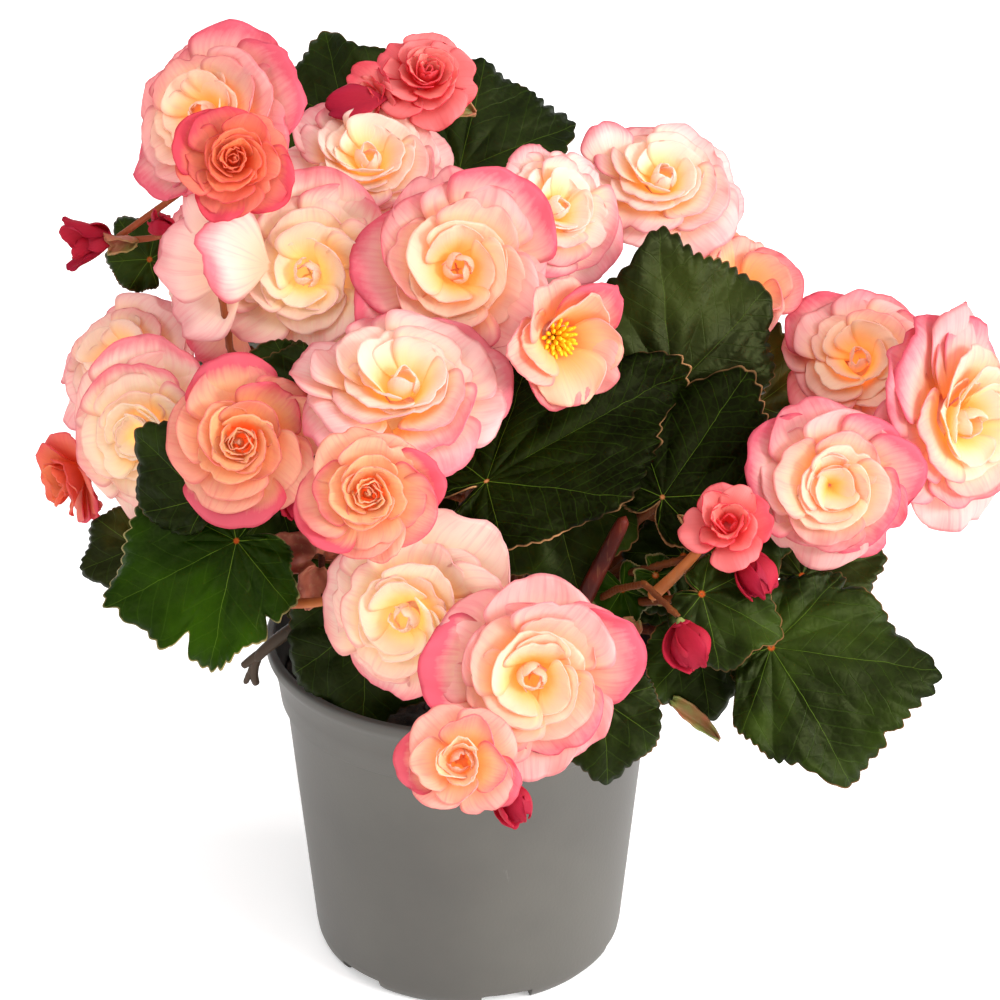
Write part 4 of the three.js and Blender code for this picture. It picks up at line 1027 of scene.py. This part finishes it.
# %% Where the flowers are
BLOOM_FIELDS = ("at", "faces", "across", "form", "turn", "skin")
BLOOMS = {  # places in mm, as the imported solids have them
    "bloom_top_left": ([-74, 20, 281], [-0.5, -0.65, 0.55], 56, "open", 10, "peach"),
    "bloom_top_left_rose": ([-69, -14, 282], [0.05, -0.85, 0.5], 34, "rose", 40, "coral"),
    "bloom_top_red": ([-13, 72, 272], [0.1, -0.6, 0.8], 33, "rose", 70, "red"),
    "bloom_top_pale": ([-30, 52, 249], [0.05, -0.42, 0.9], 54, "open", 20, "cream"),
    "bloom_cream_left": ([-47, 10, 235], [-0.12, -0.88, 0.45], 56, "open", 55, "ivory"),
    "bloom_side_left": ([-78, 34, 226], [-0.85, -0.5, 0.15], 46, "open", 15, "cream"),
    "bloom_centre": ([-3, -4, 241], [0.05, -0.86, 0.5], 61, "open", 30, "peach"),
    "bloom_pale_right": ([25, 32, 243], [0.45, -0.55, 0.65], 48, "open", 0, "cream"),
    "bloom_stamens": ([25, -31, 233], [0.4, -0.85, 0.2], 42, "bowl", 35, "bowl"),
    "bloom_top_right": ([62, 60, 238], [0.12, -0.45, 0.88], 52, "open", 5, "cream"),
    "bloom_right_cup": ([86, 42, 209], [0.25, -0.5, 0.8], 38, "bowl", 60, "bowl"),
    "bloom_left_back": ([-107, 43, 185], [-0.5, -0.4, 0.75], 52, "open", 40, "cream"),
    "bloom_left_low": ([-97, -8, 189], [-0.4, -0.85, 0.3], 54, "open", 65, "ivory"),
    "bloom_left_edge": ([-122, 14, 164], [-0.8, -0.55, -0.1], 30, "small", 0, "coral"),
    "bloom_rose_left": ([-67, -46, 206], [-0.02, -0.9, 0.42], 46, "rose", 25, "orange"),
    "bloom_cream_centre": ([-20, -50, 216], [0.05, -0.32, 0.95], 64, "open", 0, "cream"),
    "bloom_rose_front": ([-28, -94, 213], [-0.05, -0.9, 0.42], 38.5, "rose", 50, "orange"),
    "bloom_front_left": ([-16, -72, 163], [-0.3, -0.9, 0.2], 56, "open", 30, "ivory"),
    "bloom_front_right": ([19, -95, 154], [0.08, -0.95, 0.3], 58, "open", 10, "peach"),
    "bloom_front_small": ([-1, -117, 136], [-0.1, -0.85, 0.5], 33, "small", 45, "bowl"),
    "bloom_far_back": ([126, 26, 193], [-0.15, -0.6, 0.75], 50, "open", 15, "peach"),
    "bloom_far_right": ([148, -2, 190], [0.65, -0.72, 0.2], 66, "open", 50, "peach"),
    "bloom_far_front": ([111, -31, 182], [0.1, -0.92, 0.32], 52, "open", 35, "peach"),
    "bloom_coral_right": ([79, -57, 180], [-0.1, -0.7, 0.65], 27, "small", 20, "red"),
    "bloom_back_left": ([-52, 103, 212], [-0.4, 0.8, 0.45], 56, "open", 0, "peach"),
    "bloom_back": ([18, 104, 200], [0.1, 0.92, 0.38], 58, "open", 20, "cream"),
    "bloom_back_right": ([78, 82, 196], [0.5, 0.75, 0.4], 52, "rose", 30, "orange"),
    "bud_left_far": ([-112, 34, 236], [-0.95, -0.3, 0.02], 18, "beak", 80, "bud"),
    "bud_right_low": ([64, -79, 160], [0.35, -0.35, -0.85], 17, "bud", 20, "bud"),
    "bud_front_left": ([-38, -56, 151], [0.6, -0.6, 0.4], 12, "bud", 0, "bud"),
    # Small side buds, which have no solid of their own.
    "side_bud_top": ([-27, 68, 270], [-0.7, -0.6, 0.3], 17, "small", 10, "red"),
    "side_bud_left": ([-94, 26, 243], [-0.2, -0.7, 0.7], 10, "bud", 40, "bud"),
    "side_bud_rose": ([-28, -84, 199], [0.25, -0.5, -0.8], 13, "bud", 15, "bud"),
    "side_bud_between": ([-50, -50, 192], [-0.1, -0.6, -0.7], 13, "bud", 70, "bud"),
    "side_bud_coral": ([84, -58, 172], [0.45, -0.4, -0.8], 16, "bud", 50, "bud"),
    "side_bud_front": ([11, -119, 128], [0.45, -0.5, -0.7], 14, "bud", 30, "bud"),
}
print("flowers and buds:", len(BLOOMS))

# %% Petals that stand out
EXTRA_PETALS = {  # broad petals that stand out: turn, length, width, and how pink, where chance gives 0 to 1
    "bloom_front_left": [(54, 0.64, 0.74, 0.0), (16, 0.56, 0.5, 0.1)],
    "bloom_front_right": [(176, 0.53, 0.6, 1.4), (12, 0.52, 0.56, 1.2), (268, 0.5, 0.5, 0.0)],
    "bloom_cream_centre": [(22, 0.5, 0.6, 1.0), (62, 0.5, 0.54, 0.9)],
    "bloom_centre": [(48, 0.52, 0.66, 1.0), (218, 0.52, 0.6, 1.0)],
    "bloom_cream_left": [(88, 0.52, 0.66, 0.8), (215, 0.5, 0.5, 0.4), (176, 0.56, 0.56, 0.6)],
    "bloom_left_edge": [(325, 0.5, 0.66, 0.8), (270, 0.5, 0.6, 0.9)],
    "bloom_top_left": [(40, 0.52, 0.6, 1.0), (235, 0.5, 0.6, 0.9)],
    "bloom_top_pale": [(75, 0.5, 0.6, 0.7), (130, 0.5, 0.56, 0.5)],
    "bloom_far_front": [(150, 0.5, 0.6, 1.0), (10, 0.52, 0.5, 1.0)],
    "bloom_far_back": [(140, 0.52, 0.6, 0.9)],
    "bloom_front_small": [(185, 0.56, 0.6, 1.4), (330, 0.52, 0.5, 1.2)],
    "bloom_rose_left": [(262, 0.53, 0.7, 1.4), (102, 0.5, 0.62, 1.3), (12, 0.58, 0.42, 0.2)],
    "bloom_rose_front": [(210, 0.53, 0.66, 1.5), (12, 0.52, 0.56, 1.4), (285, 0.48, 0.42, 0.1)],
    "bloom_top_left_rose": [(150, 0.52, 0.66, 1.4), (325, 0.52, 0.6, 1.3), (250, 0.5, 0.5, 1.3)],
    "bloom_far_right": [(118, 0.5, 0.6, 0.8), (80, 0.5, 0.5, 0.2)],
    "bloom_left_low": [(95, 0.52, 0.66, 1.0)],
}
print("flowers with petals that stand out:", len(EXTRA_PETALS))

# %% Every petal of a flower
HEART_ASIDE = 0.04          # the range in which the heart lies round the middle, as a share of the width
DEEP_HEARTS = 0.55          # the draw above which a heart is deep instead of closed
DEEP_OPENS, HEART_RING = (26, 44), 0.012
BALL_WIDTH = 0.62           # of a closed heart's petals, against those of a deep one
FREE = 2.2                  # how much more the petals between the solid ones may differ


def petals_of(name, bloom):
    """Every petal of a flower, with the small differences that growing gives them."""
    across, turn = bloom["across"], bloom["turn"]
    draw = Draw(len(name) * 97 + math.floor(across * 13 + turn + 0.5))
    loose = Draw(sum(ord(letter) for letter in name) * 31)
    form = FORMS[bloom["form"]]
    petals = []
    heart = [HEART_ASIDE * across * (loose.next() - 0.5) for _ in range(2)]
    deep = loose.next() > DEEP_HEARTS
    hearts = 3 + math.floor(3 * loose.next())
    for number, kind in enumerate(form["layers"] + form["filling"]):
        solid = number < len(form["layers"])
        first = turn + (37 * number if solid else kind["turn"])
        depth = number / max(1, len(form["layers"]) - 1) if solid else kind["depth"]
        innermost = depth == 1 and not solid
        if innermost and bloom["form"] == "open":
            kind = dict(kind, petals=hearts)
        for i in range(kind["petals"]):
            petal = dict(kind, depth=depth)
            petal["length"] = kind["length"] * across * (0.95 + 0.1 * draw.next())
            petal["width"] = kind["width"] * across * (0.94 + 0.12 * draw.next())
            petal["ring"] = kind["ring"] * across
            petal["rise"] = kind["rise"] * across
            petal["start"] = kind["opens"][0] + 2 * draw.next() - 1
            petal["end"] = kind["opens"][1] + 5 * draw.next() - 2.5
            petal["phase"] = 6.28 * draw.next()
            petal["turn"] = math.radians(first + 360 * i / kind["petals"] + 8 * draw.next() - 4)
            free = 1 if solid else FREE
            petal["length"] *= 0.97 + 0.08 * free * (loose.next() - 0.5)
            petal["width"] *= 1 + 0.12 * free * (loose.next() - 0.5)
            petal["start"] += 6 * (loose.next() - 0.5)
            petal["end"] += 14 * free * (loose.next() - 0.5)
            petal["turn"] += math.radians(14 * free * (loose.next() - 0.5))
            petal["slant"] = kind["slant"] + 6 * free * (loose.next() - 0.5)
            petal["notch"] = 1.2 * loose.next() - 0.6
            petal["cleft"] = 0.02 + 0.13 * loose.next() ** 2
            petal["chance"] = loose.next() ** 1.7
            petal["shift"] = [depth * value for value in heart]
            if innermost and bloom["form"] == "open":
                petal["ring"] = HEART_RING * across
                if deep:
                    petal["start"], petal["end"] = DEEP_OPENS
                else:   # a small closed ball, as of a bud
                    petal["start"], petal["end"] = 60 + 4 * loose.next(), -40 - 10 * loose.next()
                    petal["slant"], petal["hug"] = 16, 1.0
                    petal["width"] *= BALL_WIDTH
            petals.append(petal)
    for turn, length, width, pinkness in EXTRA_PETALS.get(name, []):
        petal = dict(petals[0], depth=0, start=66, end=84, notch=0.3, cleft=0.03, chance=pinkness,
                     turn=math.radians(turn))
        petal["length"], petal["width"], petal["shift"] = length * across, width * across, [0, 0]
        petals.append(petal)
    return petals


print("petals of the front flower:",
      len(petals_of("bloom_front_right", dict(zip(BLOOM_FIELDS, BLOOMS["bloom_front_right"])))))


# %% The curve of a petal
def petal_points(petal, t, v):
    """A petal in its flower's own frame, in mm. t runs across from -1 to 1, v from root to rim."""
    notch = petal["cleft"] * v**4 * np.exp(-(((t - petal["notch"]) / 0.2) ** 2))
    s = v * (1 - 0.26 * np.abs(t) ** 2.4 - notch)
    start, bend = math.radians(petal["start"]), math.radians(petal["end"] - petal["start"])
    angle = start + bend * s
    out = petal["ring"] + petal["length"] * (math.cos(start) - np.cos(angle)) / bend
    up = petal["rise"] + petal["length"] * (np.sin(angle) - math.sin(start)) / bend
    widening = np.sin(np.clip(1.25 * v, 0, 1) * math.pi / 2) ** 1.4
    rounding = 1 - 0.2 * np.clip((v - 0.72) / 0.28, 0, 1) ** 2
    half = petal["width"] / 2 * (petal["root"] + (1 - petal["root"]) * widening) * rounding
    curve = petal["hug"] * np.cos(angle) / out + 1e-5
    curl = np.clip(t * half * curve, -1.5, 1.5)
    phase = petal["phase"]
    outside = 1 - petal["depth"]
    soft = (petal["wave"] + 0.03) * v**2 * np.sin(4.2 * t + phase)
    ruffle = 0.02 * v**4 * np.sin(9 * t + 2 * phase) + 0.01 * v**6 * np.sin(21 * t + 3 * phase)
    cup = 0.1 * (1 - outside) * t**2 * v
    rim = 0.06 * np.clip((v - 0.75) / 0.25, 0, 1) ** 2 * outside * (0.6 + 0.4 * math.sin(phase))
    ripple = petal["length"] * (soft + ruffle + cup - rim)
    lift = (1 - np.cos(curl)) / curve + ripple + t * half * math.tan(math.radians(petal["slant"]))
    x, y, z = out - np.cos(angle) * lift, np.sin(curl) / curve, up + np.sin(angle) * lift
    cos, sin = math.cos(petal["turn"]), math.sin(petal["turn"])
    aside = petal["shift"]
    return np.stack([x * cos - y * sin + aside[0], x * sin + y * cos + aside[1], z], 1)


print("petal curve ready")

# %% One petal
PETAL_BLADE = 0.35 * MM
PETAL_GRID = (18, 16)       # points across, and from root to rim


def build_petal(grid, petal):
    piece = copy_of(grid, "petal")
    flat = read_points(grid.data)
    points = petal_points(petal, flat[:, 0], (flat[:, 1] + 1) / 2)
    same = np.ones(len(points))
    add_map(piece.data, "layer", same * petal["depth"], same * petal["chance"])
    write_points(piece.data, points * MM)
    return piece


print("petal grid:", PETAL_GRID)

# %% The green cup under a flower
# radius and height, as shares of the flower's width
FOOT_PROFILE = [(0.018, -0.11), (0.05, -0.09), (0.085, -0.03), (0.1, 0.02), (0.07, 0.05)]
PLUG_PROFILE = [(0.1, -0.02), (0.17, 0.012), (0.16, 0.026), (0.1, 0.05), (0.02, 0.09)]


def build_foot(across, skin):
    """The green cup that holds the petals, and in it a plug of petal flesh that closes the gaps between
    their roots."""
    parts = []
    for profile, finish in [(FOOT_PROFILE, BRACT_SKIN), (PLUG_PROFILE, skin)]:
        part = turned_shell("foot", [(radius * across, height * across) for radius, height in profile], 20)
        part.data.materials.append(finish)
        parts.append(part)
    return parts


print("cup and plug:", len(FOOT_PROFILE), len(PLUG_PROFILE), "rings")

# %% Stamens
STAMENS, STAMEN_LENGTH, STAMEN_FOOT = 34, 0.2, 0.06     # lengths as shares of the flower's width


def build_stamens(across, count):
    """A tuft of yellow stamens: short rods with fat ends, spread over a dome."""
    rods = []
    for number in range(count):
        rod = add(bpy.ops.mesh.primitive_uv_sphere_add, segments=10, ring_count=8, radius=1)
        points = read_points(rod.data)
        high = (points[:, 2] + 1) / 2
        waist = 0.35 + 0.65 * high**2
        points[:, :2] *= (1.1 * waist)[:, None]
        points[:, 2] = high * STAMEN_LENGTH * across
        lean = 0.9 * math.sqrt(number / count)
        around = 2.4 * number
        turn = Matrix.Rotation(around, 3, "Z") @ Matrix.Rotation(lean, 3, "Y")
        points = points @ np.array(turn).T + [0, 0, STAMEN_FOOT * across]
        write_points(rod.data, points * MM)
        rods.append(rod)
    tuft = join(rods, "tuft")
    tuft.data.materials.append(POLLEN_SKIN)
    return tuft


print("stamens:", STAMENS)


# %% A whole flower
def build_bloom(name, grid):
    bloom = dict(zip(BLOOM_FIELDS, BLOOMS[name]))
    front, back = PETAL_SKINS[bloom["skin"]]
    petals = [build_petal(grid, petal) for petal in petals_of(name, bloom)]
    piece = join(petals, name + "_petals")
    as_sheet(piece, back, front, PETAL_BLADE)
    parts = [piece, *build_foot(bloom["across"], front)]
    if name == "bloom_stamens":
        parts.append(build_stamens(bloom["across"], STAMENS))
    piece = join(parts, name + "_petals")
    set_down(piece, read_points(piece.data), bloom["at"], bloom["faces"])
    smooth(piece)
    hand_over(piece, PETAL_SLOTS.get(bloom["skin"], "petal_pale"), *solids(name))
    return len(piece.data.polygons)


petal_grid = add_grid("petal_grid", *PETAL_GRID)
print("petal faces:", sum(build_bloom(name, petal_grid) for name in BLOOMS))

# %% [markdown]
# ## Single petals
#
# Here and there only a few broad petals are in view, of flowers that are turned away or mostly hidden.
# Whole flowers there would crowd the plant, so each of these is one petal of the outer kind, laid between
# its root and its tip.

# %% Single petals
# root, tip from the root, where the face looks, length, width, skin, and how pink; mm
LOOSE_PETALS = {
    "loose_petal_left_a": ([-67.2, -3, 243.9], [-17.5, -7, 27.7], [-0.3, -0.9, 0.2], 33.5, 23, "cream", 0.35),
    "loose_petal_left_b": ([-67.2, -1, 239], [-24, -10, -10.8], [-0.3, -0.85, 0.4], 28.2, 25, "cream", 0.3),
    "loose_petal_left_f": ([-60.0, -2, 242.8], [-11.6, -29, 18.4], [0.8, -0.6, 0.1], 36.3, 30, "cream", 0.9),
    "loose_petal_left_c": ([-67.7, -6, 244.0], [-28.0, -6, 6.1], [-0.3, -0.9, 0.3], 29.3, 28, "cream", 0.4),
    "loose_petal_left_d": ([-71.7, 20, 217.0], [-16.3, -6, -10.3], [-0.3, -0.8, 0.5], 20.2, 20, "peach", 1.0),
    "loose_petal_left_e": ([-72.5, 22, 214.0], [-6.3, -10, -15.5], [-0.1, -0.9, 0.4], 19.5, 19, "peach", 1.2),
    "loose_petal_right_b": ([70, 54, 234], [19.5, 3, 5.5], [0.1, -0.8, 0.5], 21, 19, "cream", 0.3),
    "loose_petal_right_c": ([48, 60, 246], [-5, 8, 15.5], [0.1, -0.9, 0.3], 18, 18, "cream", 0.9),
    "loose_petal_top_a": ([-23.8, 62, 272.1], [-20.9, -2, -1.9], [-0.1, -0.75, 0.6], 21.1, 13, "bud", 0.6),
    "loose_petal_top_b": ([-24.5, 66, 271.8], [-12.0, 2, 8.1], [-0.1, -0.85, 0.5], 14.6, 13, "red", 1.0),
}


def build_loose_petal(name, grid):
    """One broad petal of a flower that's turned away, so that only this side of it is in view."""
    at, tip, face, length, width, skin, pink = LOOSE_PETALS[name]
    petal = dict(OUTER, length=length, width=width, ring=0.3, rise=0, slant=6, start=74, end=104,
                 phase=len(name), turn=math.pi / 2, notch=0.2, cleft=0.05, chance=pink, depth=-0.15,
                 shift=[0, 0])
    piece = build_petal(grid, petal)
    front, back = PETAL_SKINS[skin]
    piece.name = name
    as_sheet(piece, back, front, PETAL_BLADE)
    set_down(piece, read_points(piece.data), at, face, tip)
    smooth(piece)
    hand_over(piece, PETAL_SLOTS.get(skin, "petal_pale"))


for name in LOOSE_PETALS:
    build_loose_petal(name, petal_grid)
bpy.data.objects.remove(petal_grid)
print("single petals:", len(LOOSE_PETALS))

# %% [markdown]
# ## Thin stalks
#
# Side buds and young leaves hang on thin stalks of their own. A stalk is a grid rolled into a tube along a
# bow, from the piece it carries to the nearest point of the stems. A few more stalks are in plain view: a
# dark old stem, two pale flower stalks and a forked stub that has withered to grey over the pot's edge.

# %% A stalk
STALK_GRID = (12, 16)       # points round, and along


def nearest_stem_point(place):
    """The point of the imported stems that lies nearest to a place."""
    spots = np.concatenate([read_points(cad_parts[node].data) for node in STEM_NODES])
    return spots[np.argmin(np.linalg.norm(spots - place, axis=1))]


def build_stalk(name, start, bend, end, thickness, skin):
    """A tube along a bow from start to end, in metres, that leans towards the point `bend`."""
    start, bend, end = (np.array(place, float) for place in (start, bend, end))
    tube = add_grid(name, *STALK_GRID)
    flat = read_points(tube.data)
    around, v = flat[:, 0] * math.pi, ((flat[:, 1] + 1) / 2)[:, None]
    line = (1 - v) ** 2 * start + 2 * v * (1 - v) * bend + v**2 * end
    ahead = 2 * (1 - v) * (bend - start) + 2 * v * (end - bend)
    ahead /= np.linalg.norm(ahead, axis=1)[:, None] + 1e-9
    side = np.cross(ahead, [0.31, 0.2, 0.93])
    side /= np.linalg.norm(side, axis=1)[:, None] + 1e-9
    other = np.cross(ahead, side)
    radius = thickness * MM * (0.85 + 0.4 * v) * np.sqrt(np.clip(1 - (2 * v - 1) ** 12, 0, 1))
    round_it = np.cos(around)[:, None] * side + np.sin(around)[:, None] * other
    write_points(tube.data, line + radius * round_it)
    merge_points(tube, SAME_SEAM, lambda: bpy.ops.mesh.normals_make_consistent(inside=False))
    tube.data.materials.append(skin)
    smooth(tube)
    hand_over(tube, "stem")


print("stalk grid:", STALK_GRID)


# %% Stalks of side buds and young leaves
SIDE_STALK = 0.9            # mm, the radius of a side stalk
BEHIND, LOOK_BACK = 0.6 * MM, 4 * MM    # where it starts, and from where it looks for a stem
BOW = 0.45                  # how far it bends out, as a share of the way


def build_side_stalk(name, at, faces):
    """From a small flower or leaf, straight back from its face, and on to the stems."""
    away = -np.array(Vector(faces).normalized())
    start = np.array(at, float) * MM + away * BEHIND
    end = nearest_stem_point(start + away * LOOK_BACK)
    bend = start + away * BOW * np.linalg.norm(end - start)
    build_stalk(name + "_stalk", start, bend, end, SIDE_STALK, STEM_SKIN)


CARRIED = [(name, row[0], row[1]) for name, row in BLOOMS.items() if name.startswith("side_bud")]
CARRIED += [(name, row[0], row[2]) for name, row in LEAVES.items() if name.startswith("young_leaf")]
for name, at, faces in CARRIED:
    build_side_stalk(name, at, faces)
print("side stalks:", len(CARRIED))

# %% Stalks in plain view
STALKS = {  # start, bend and end, thickness, and skin; mm
    "old_stem": ([48.5, -46, 178.9], [42, -44, 163], [33, -38, 138], 2.5, "old"),
    "coral_stalk": ([71, -60, 176], [65, -56, 165], [56, -46, 150], 1.7, "pale"),
    "front_bud_stalk": ([-38, -54, 156], [-48, -52, 150.5], [-62, -44, 149], 1.5, "pale"),
    "dry_stub": ([-67.8, -20, 113.4], [-63, -21.5, 121], [-50, -23, 130], 1.9, "dry"),
    "dry_stub_end_a": ([-71.6, -19, 110.8], [-69.5, -19.5, 113], [-65.5, -20.5, 116.5], 1.4, "dry"),
    "dry_stub_end_b": ([-67.2, -18, 103.3], [-69.3, -19, 108.7], [-66.5, -20, 115.5], 1.45, "dry"),
}
STALK_SKINS = {
    "old": stem_skin("stem_skin_old", rgb(60, 14, 8), rgb(100, 30, 16), rgb(104, 36, 18)),
    "pale": stem_skin("stem_skin_pale", rgb(150, 70, 34), rgb(190, 116, 60), rgb(184, 104, 54)),
    "dry": stem_skin("stem_skin_dry", rgb(44, 36, 28), rgb(84, 68, 52), rgb(80, 60, 46)),
}
for name, (start, bend, end, thickness, skin) in STALKS.items():
    start, bend, end = (np.array(place) * MM for place in (start, bend, end))
    build_stalk(name, start, bend, end, thickness, STALK_SKINS[skin])
print("stalks in view:", len(STALKS))

# %% [markdown]
# ## Bracts
#
# Where stalks leave a stem or a flower sit bracts: small cupped scales, green to red, with uneven edges.
# Each is one grid pinched at both ends, cupped by a formula and given its thickness.

# %% Bracts
BRACT_GRID = (12, 14)       # points across, and from root to tip
BRACT_BLADE = 0.5 * MM
BRACTS = {  # place of the root, where the tip points, where the inside faces, length and width
    "bract_top_a": ([-10, 68, 268], [0.9, -0.1, -0.1], [0.1, -0.7, 0.7], 14, 9),
    "bract_top_b": ([-20, 66, 270], [-0.8, -0.3, 0.1], [0.1, -0.7, 0.7], 10, 7),
    "bract_bud_a": ([-104, 33, 237], [-0.9, -0.2, 0.35], [0.3, -0.5, -0.6], 10, 7),
    "bract_bud_b": ([-104, 32, 235], [-0.9, -0.25, -0.3], [0.2, -0.4, 0.7], 9, 6),
    "bract_left_a": ([-48, -34, 158], [-0.6, -0.5, 0.5], [0.3, -0.8, 0.4], 17, 14),
    "bract_left_b": ([-44, -36, 160], [0.3, -0.5, 0.8], [-0.2, -0.8, 0.4], 15, 12),
    "bract_left_c": ([-46, -38, 157], [-0.2, -0.6, -0.6], [0.1, -0.8, 0.6], 13, 11),
    "bract_left_d": ([-42, -40, 158], [0.9, -0.4, 0.1], [0, -0.8, 0.6], 11, 8),
    "bract_coral_a": ([74, -48, 170], [-0.3, -0.5, 0.8], [0.4, -0.8, 0.3], 13, 7),
    "bract_coral_b": ([75, -50, 169], [0.8, -0.5, -0.5], [0, -0.8, 0.6], 14, 6),
    "bract_right_a": ([52, -44, 141], [-0.4, -0.6, -0.3], [0.1, -0.7, 0.7], 9, 8),
    "bract_right_b": ([62, -44, 148], [-0.3, -0.6, 0.6], [0.2, -0.8, 0.4], 8, 6),
    "bract_right_c": ([63, -57.8, 120.4], [0.72, -0.3, -0.62], [0, -0.6, 0.8], 19, 6),
}


def build_bract(name):
    at, tip, face, length, width = BRACTS[name]
    scale = add_grid(name, *BRACT_GRID)
    flat = read_points(scale.data)
    t, v = flat[:, 0], (flat[:, 1] + 1) / 2
    half = width / 2 * np.sin(math.pi * (0.04 + 0.93 * v)) ** 0.7 * (1.15 - 0.5 * v)
    ragged = 1 + 0.06 * np.sin(23 * v + length) * np.abs(t) ** 3
    cupped = width * (0.35 * t * t - 0.5 * v * v + 0.06 * np.sin(9 * v + 5 * t))
    points = np.stack([t * half * ragged, length * v, cupped], 1)
    set_down(scale, points * MM, at, face, tip)
    scale.data.materials.append(RED_BRACT_SKIN if "left" in name else BRACT_SKIN)
    apply_modifier(scale, "SOLIDIFY", thickness=BRACT_BLADE, offset=0)
    smooth(scale)
    hand_over(scale, "stem")


for name in BRACTS:
    build_bract(name)
print("bracts:", len(BRACTS))

# %% [markdown]
# ## Floor and light
#
# The plant stands on a plain pale floor in a bright room. A large soft key lamp and a low side lamp from
# the right model the petals, a weaker one from the left keeps the leaves from going black, a faint one
# behind draws the edges, a soft sun from overhead lights the tops, and a white surrounding does the rest.

# %% The floor
def build_floor():
    floor = add(bpy.ops.mesh.primitive_plane_add, size=12)
    floor.name = "floor"
    finish = Finish("floor_paper")
    clouds = finish.noise(finish.place(), 0.6, 2.0)
    colour = finish.mix(clouds, rgb(250, 250, 250), rgb(255, 255, 255))
    finish.plug(finish.shader.inputs["Emission Color"], colour)
    floor.data.materials.append(finish.finish(colour, 0.9, Emission_Strength=0.3))


build_floor()
print("floor: a sheet of pale paper")

# %% The lamps
LAMPS = {  # place, width across and power
    "key": ((2.0, -1.5, 1.2), 0.9, 54),
    "fill": ((-1.6, -1.2, 1.2), 1.2, 12),
    "side": ((1.9, -0.2, 0.5), 0.6, 20),
    "back": ((-0.4, 2.0, 1.1), 1.2, 6),
}
AIM = (0, 0, 0.17)          # the middle of the plant


def add_lamp(name, place, size, watts):
    lamp = bpy.data.lights.new(name, "AREA")
    lamp.shape = "DISK"
    lamp.size = size
    lamp.energy = watts
    piece = bpy.data.objects.new(name, lamp)
    piece.location = place
    aim = Vector(AIM) - Vector(place)
    piece.rotation_euler = aim.to_track_quat("-Z", "Y").to_euler()
    bpy.context.scene.collection.objects.link(piece)


for name, lamp in LAMPS.items():
    add_lamp(name, *lamp)
print("lamps:", *LAMPS)

# %% Sun and surroundings
ROOM_LIGHT, SUN_LIGHT = 0.6, 1.6
SUN_SPREAD, SUN_TURN = math.radians(60), (math.radians(25), math.radians(15), 0)

sun = bpy.data.objects.new("overhead", bpy.data.lights.new("overhead", "SUN"))
sun.data.energy, sun.data.angle = SUN_LIGHT, SUN_SPREAD
sun.rotation_euler = SUN_TURN
bpy.context.scene.collection.objects.link(sun)
world = bpy.data.worlds.new("room")
world.use_nodes = True
surroundings = world.node_tree.nodes["Background"].inputs
surroundings["Color"].default_value = (1, 1, 1, 1)
surroundings["Strength"].default_value = ROOM_LIGHT
bpy.context.scene.world = world
bpy.context.scene.view_settings.view_transform = "Standard"
print("sun and surroundings:", SUN_LIGHT, ROOM_LIGHT)
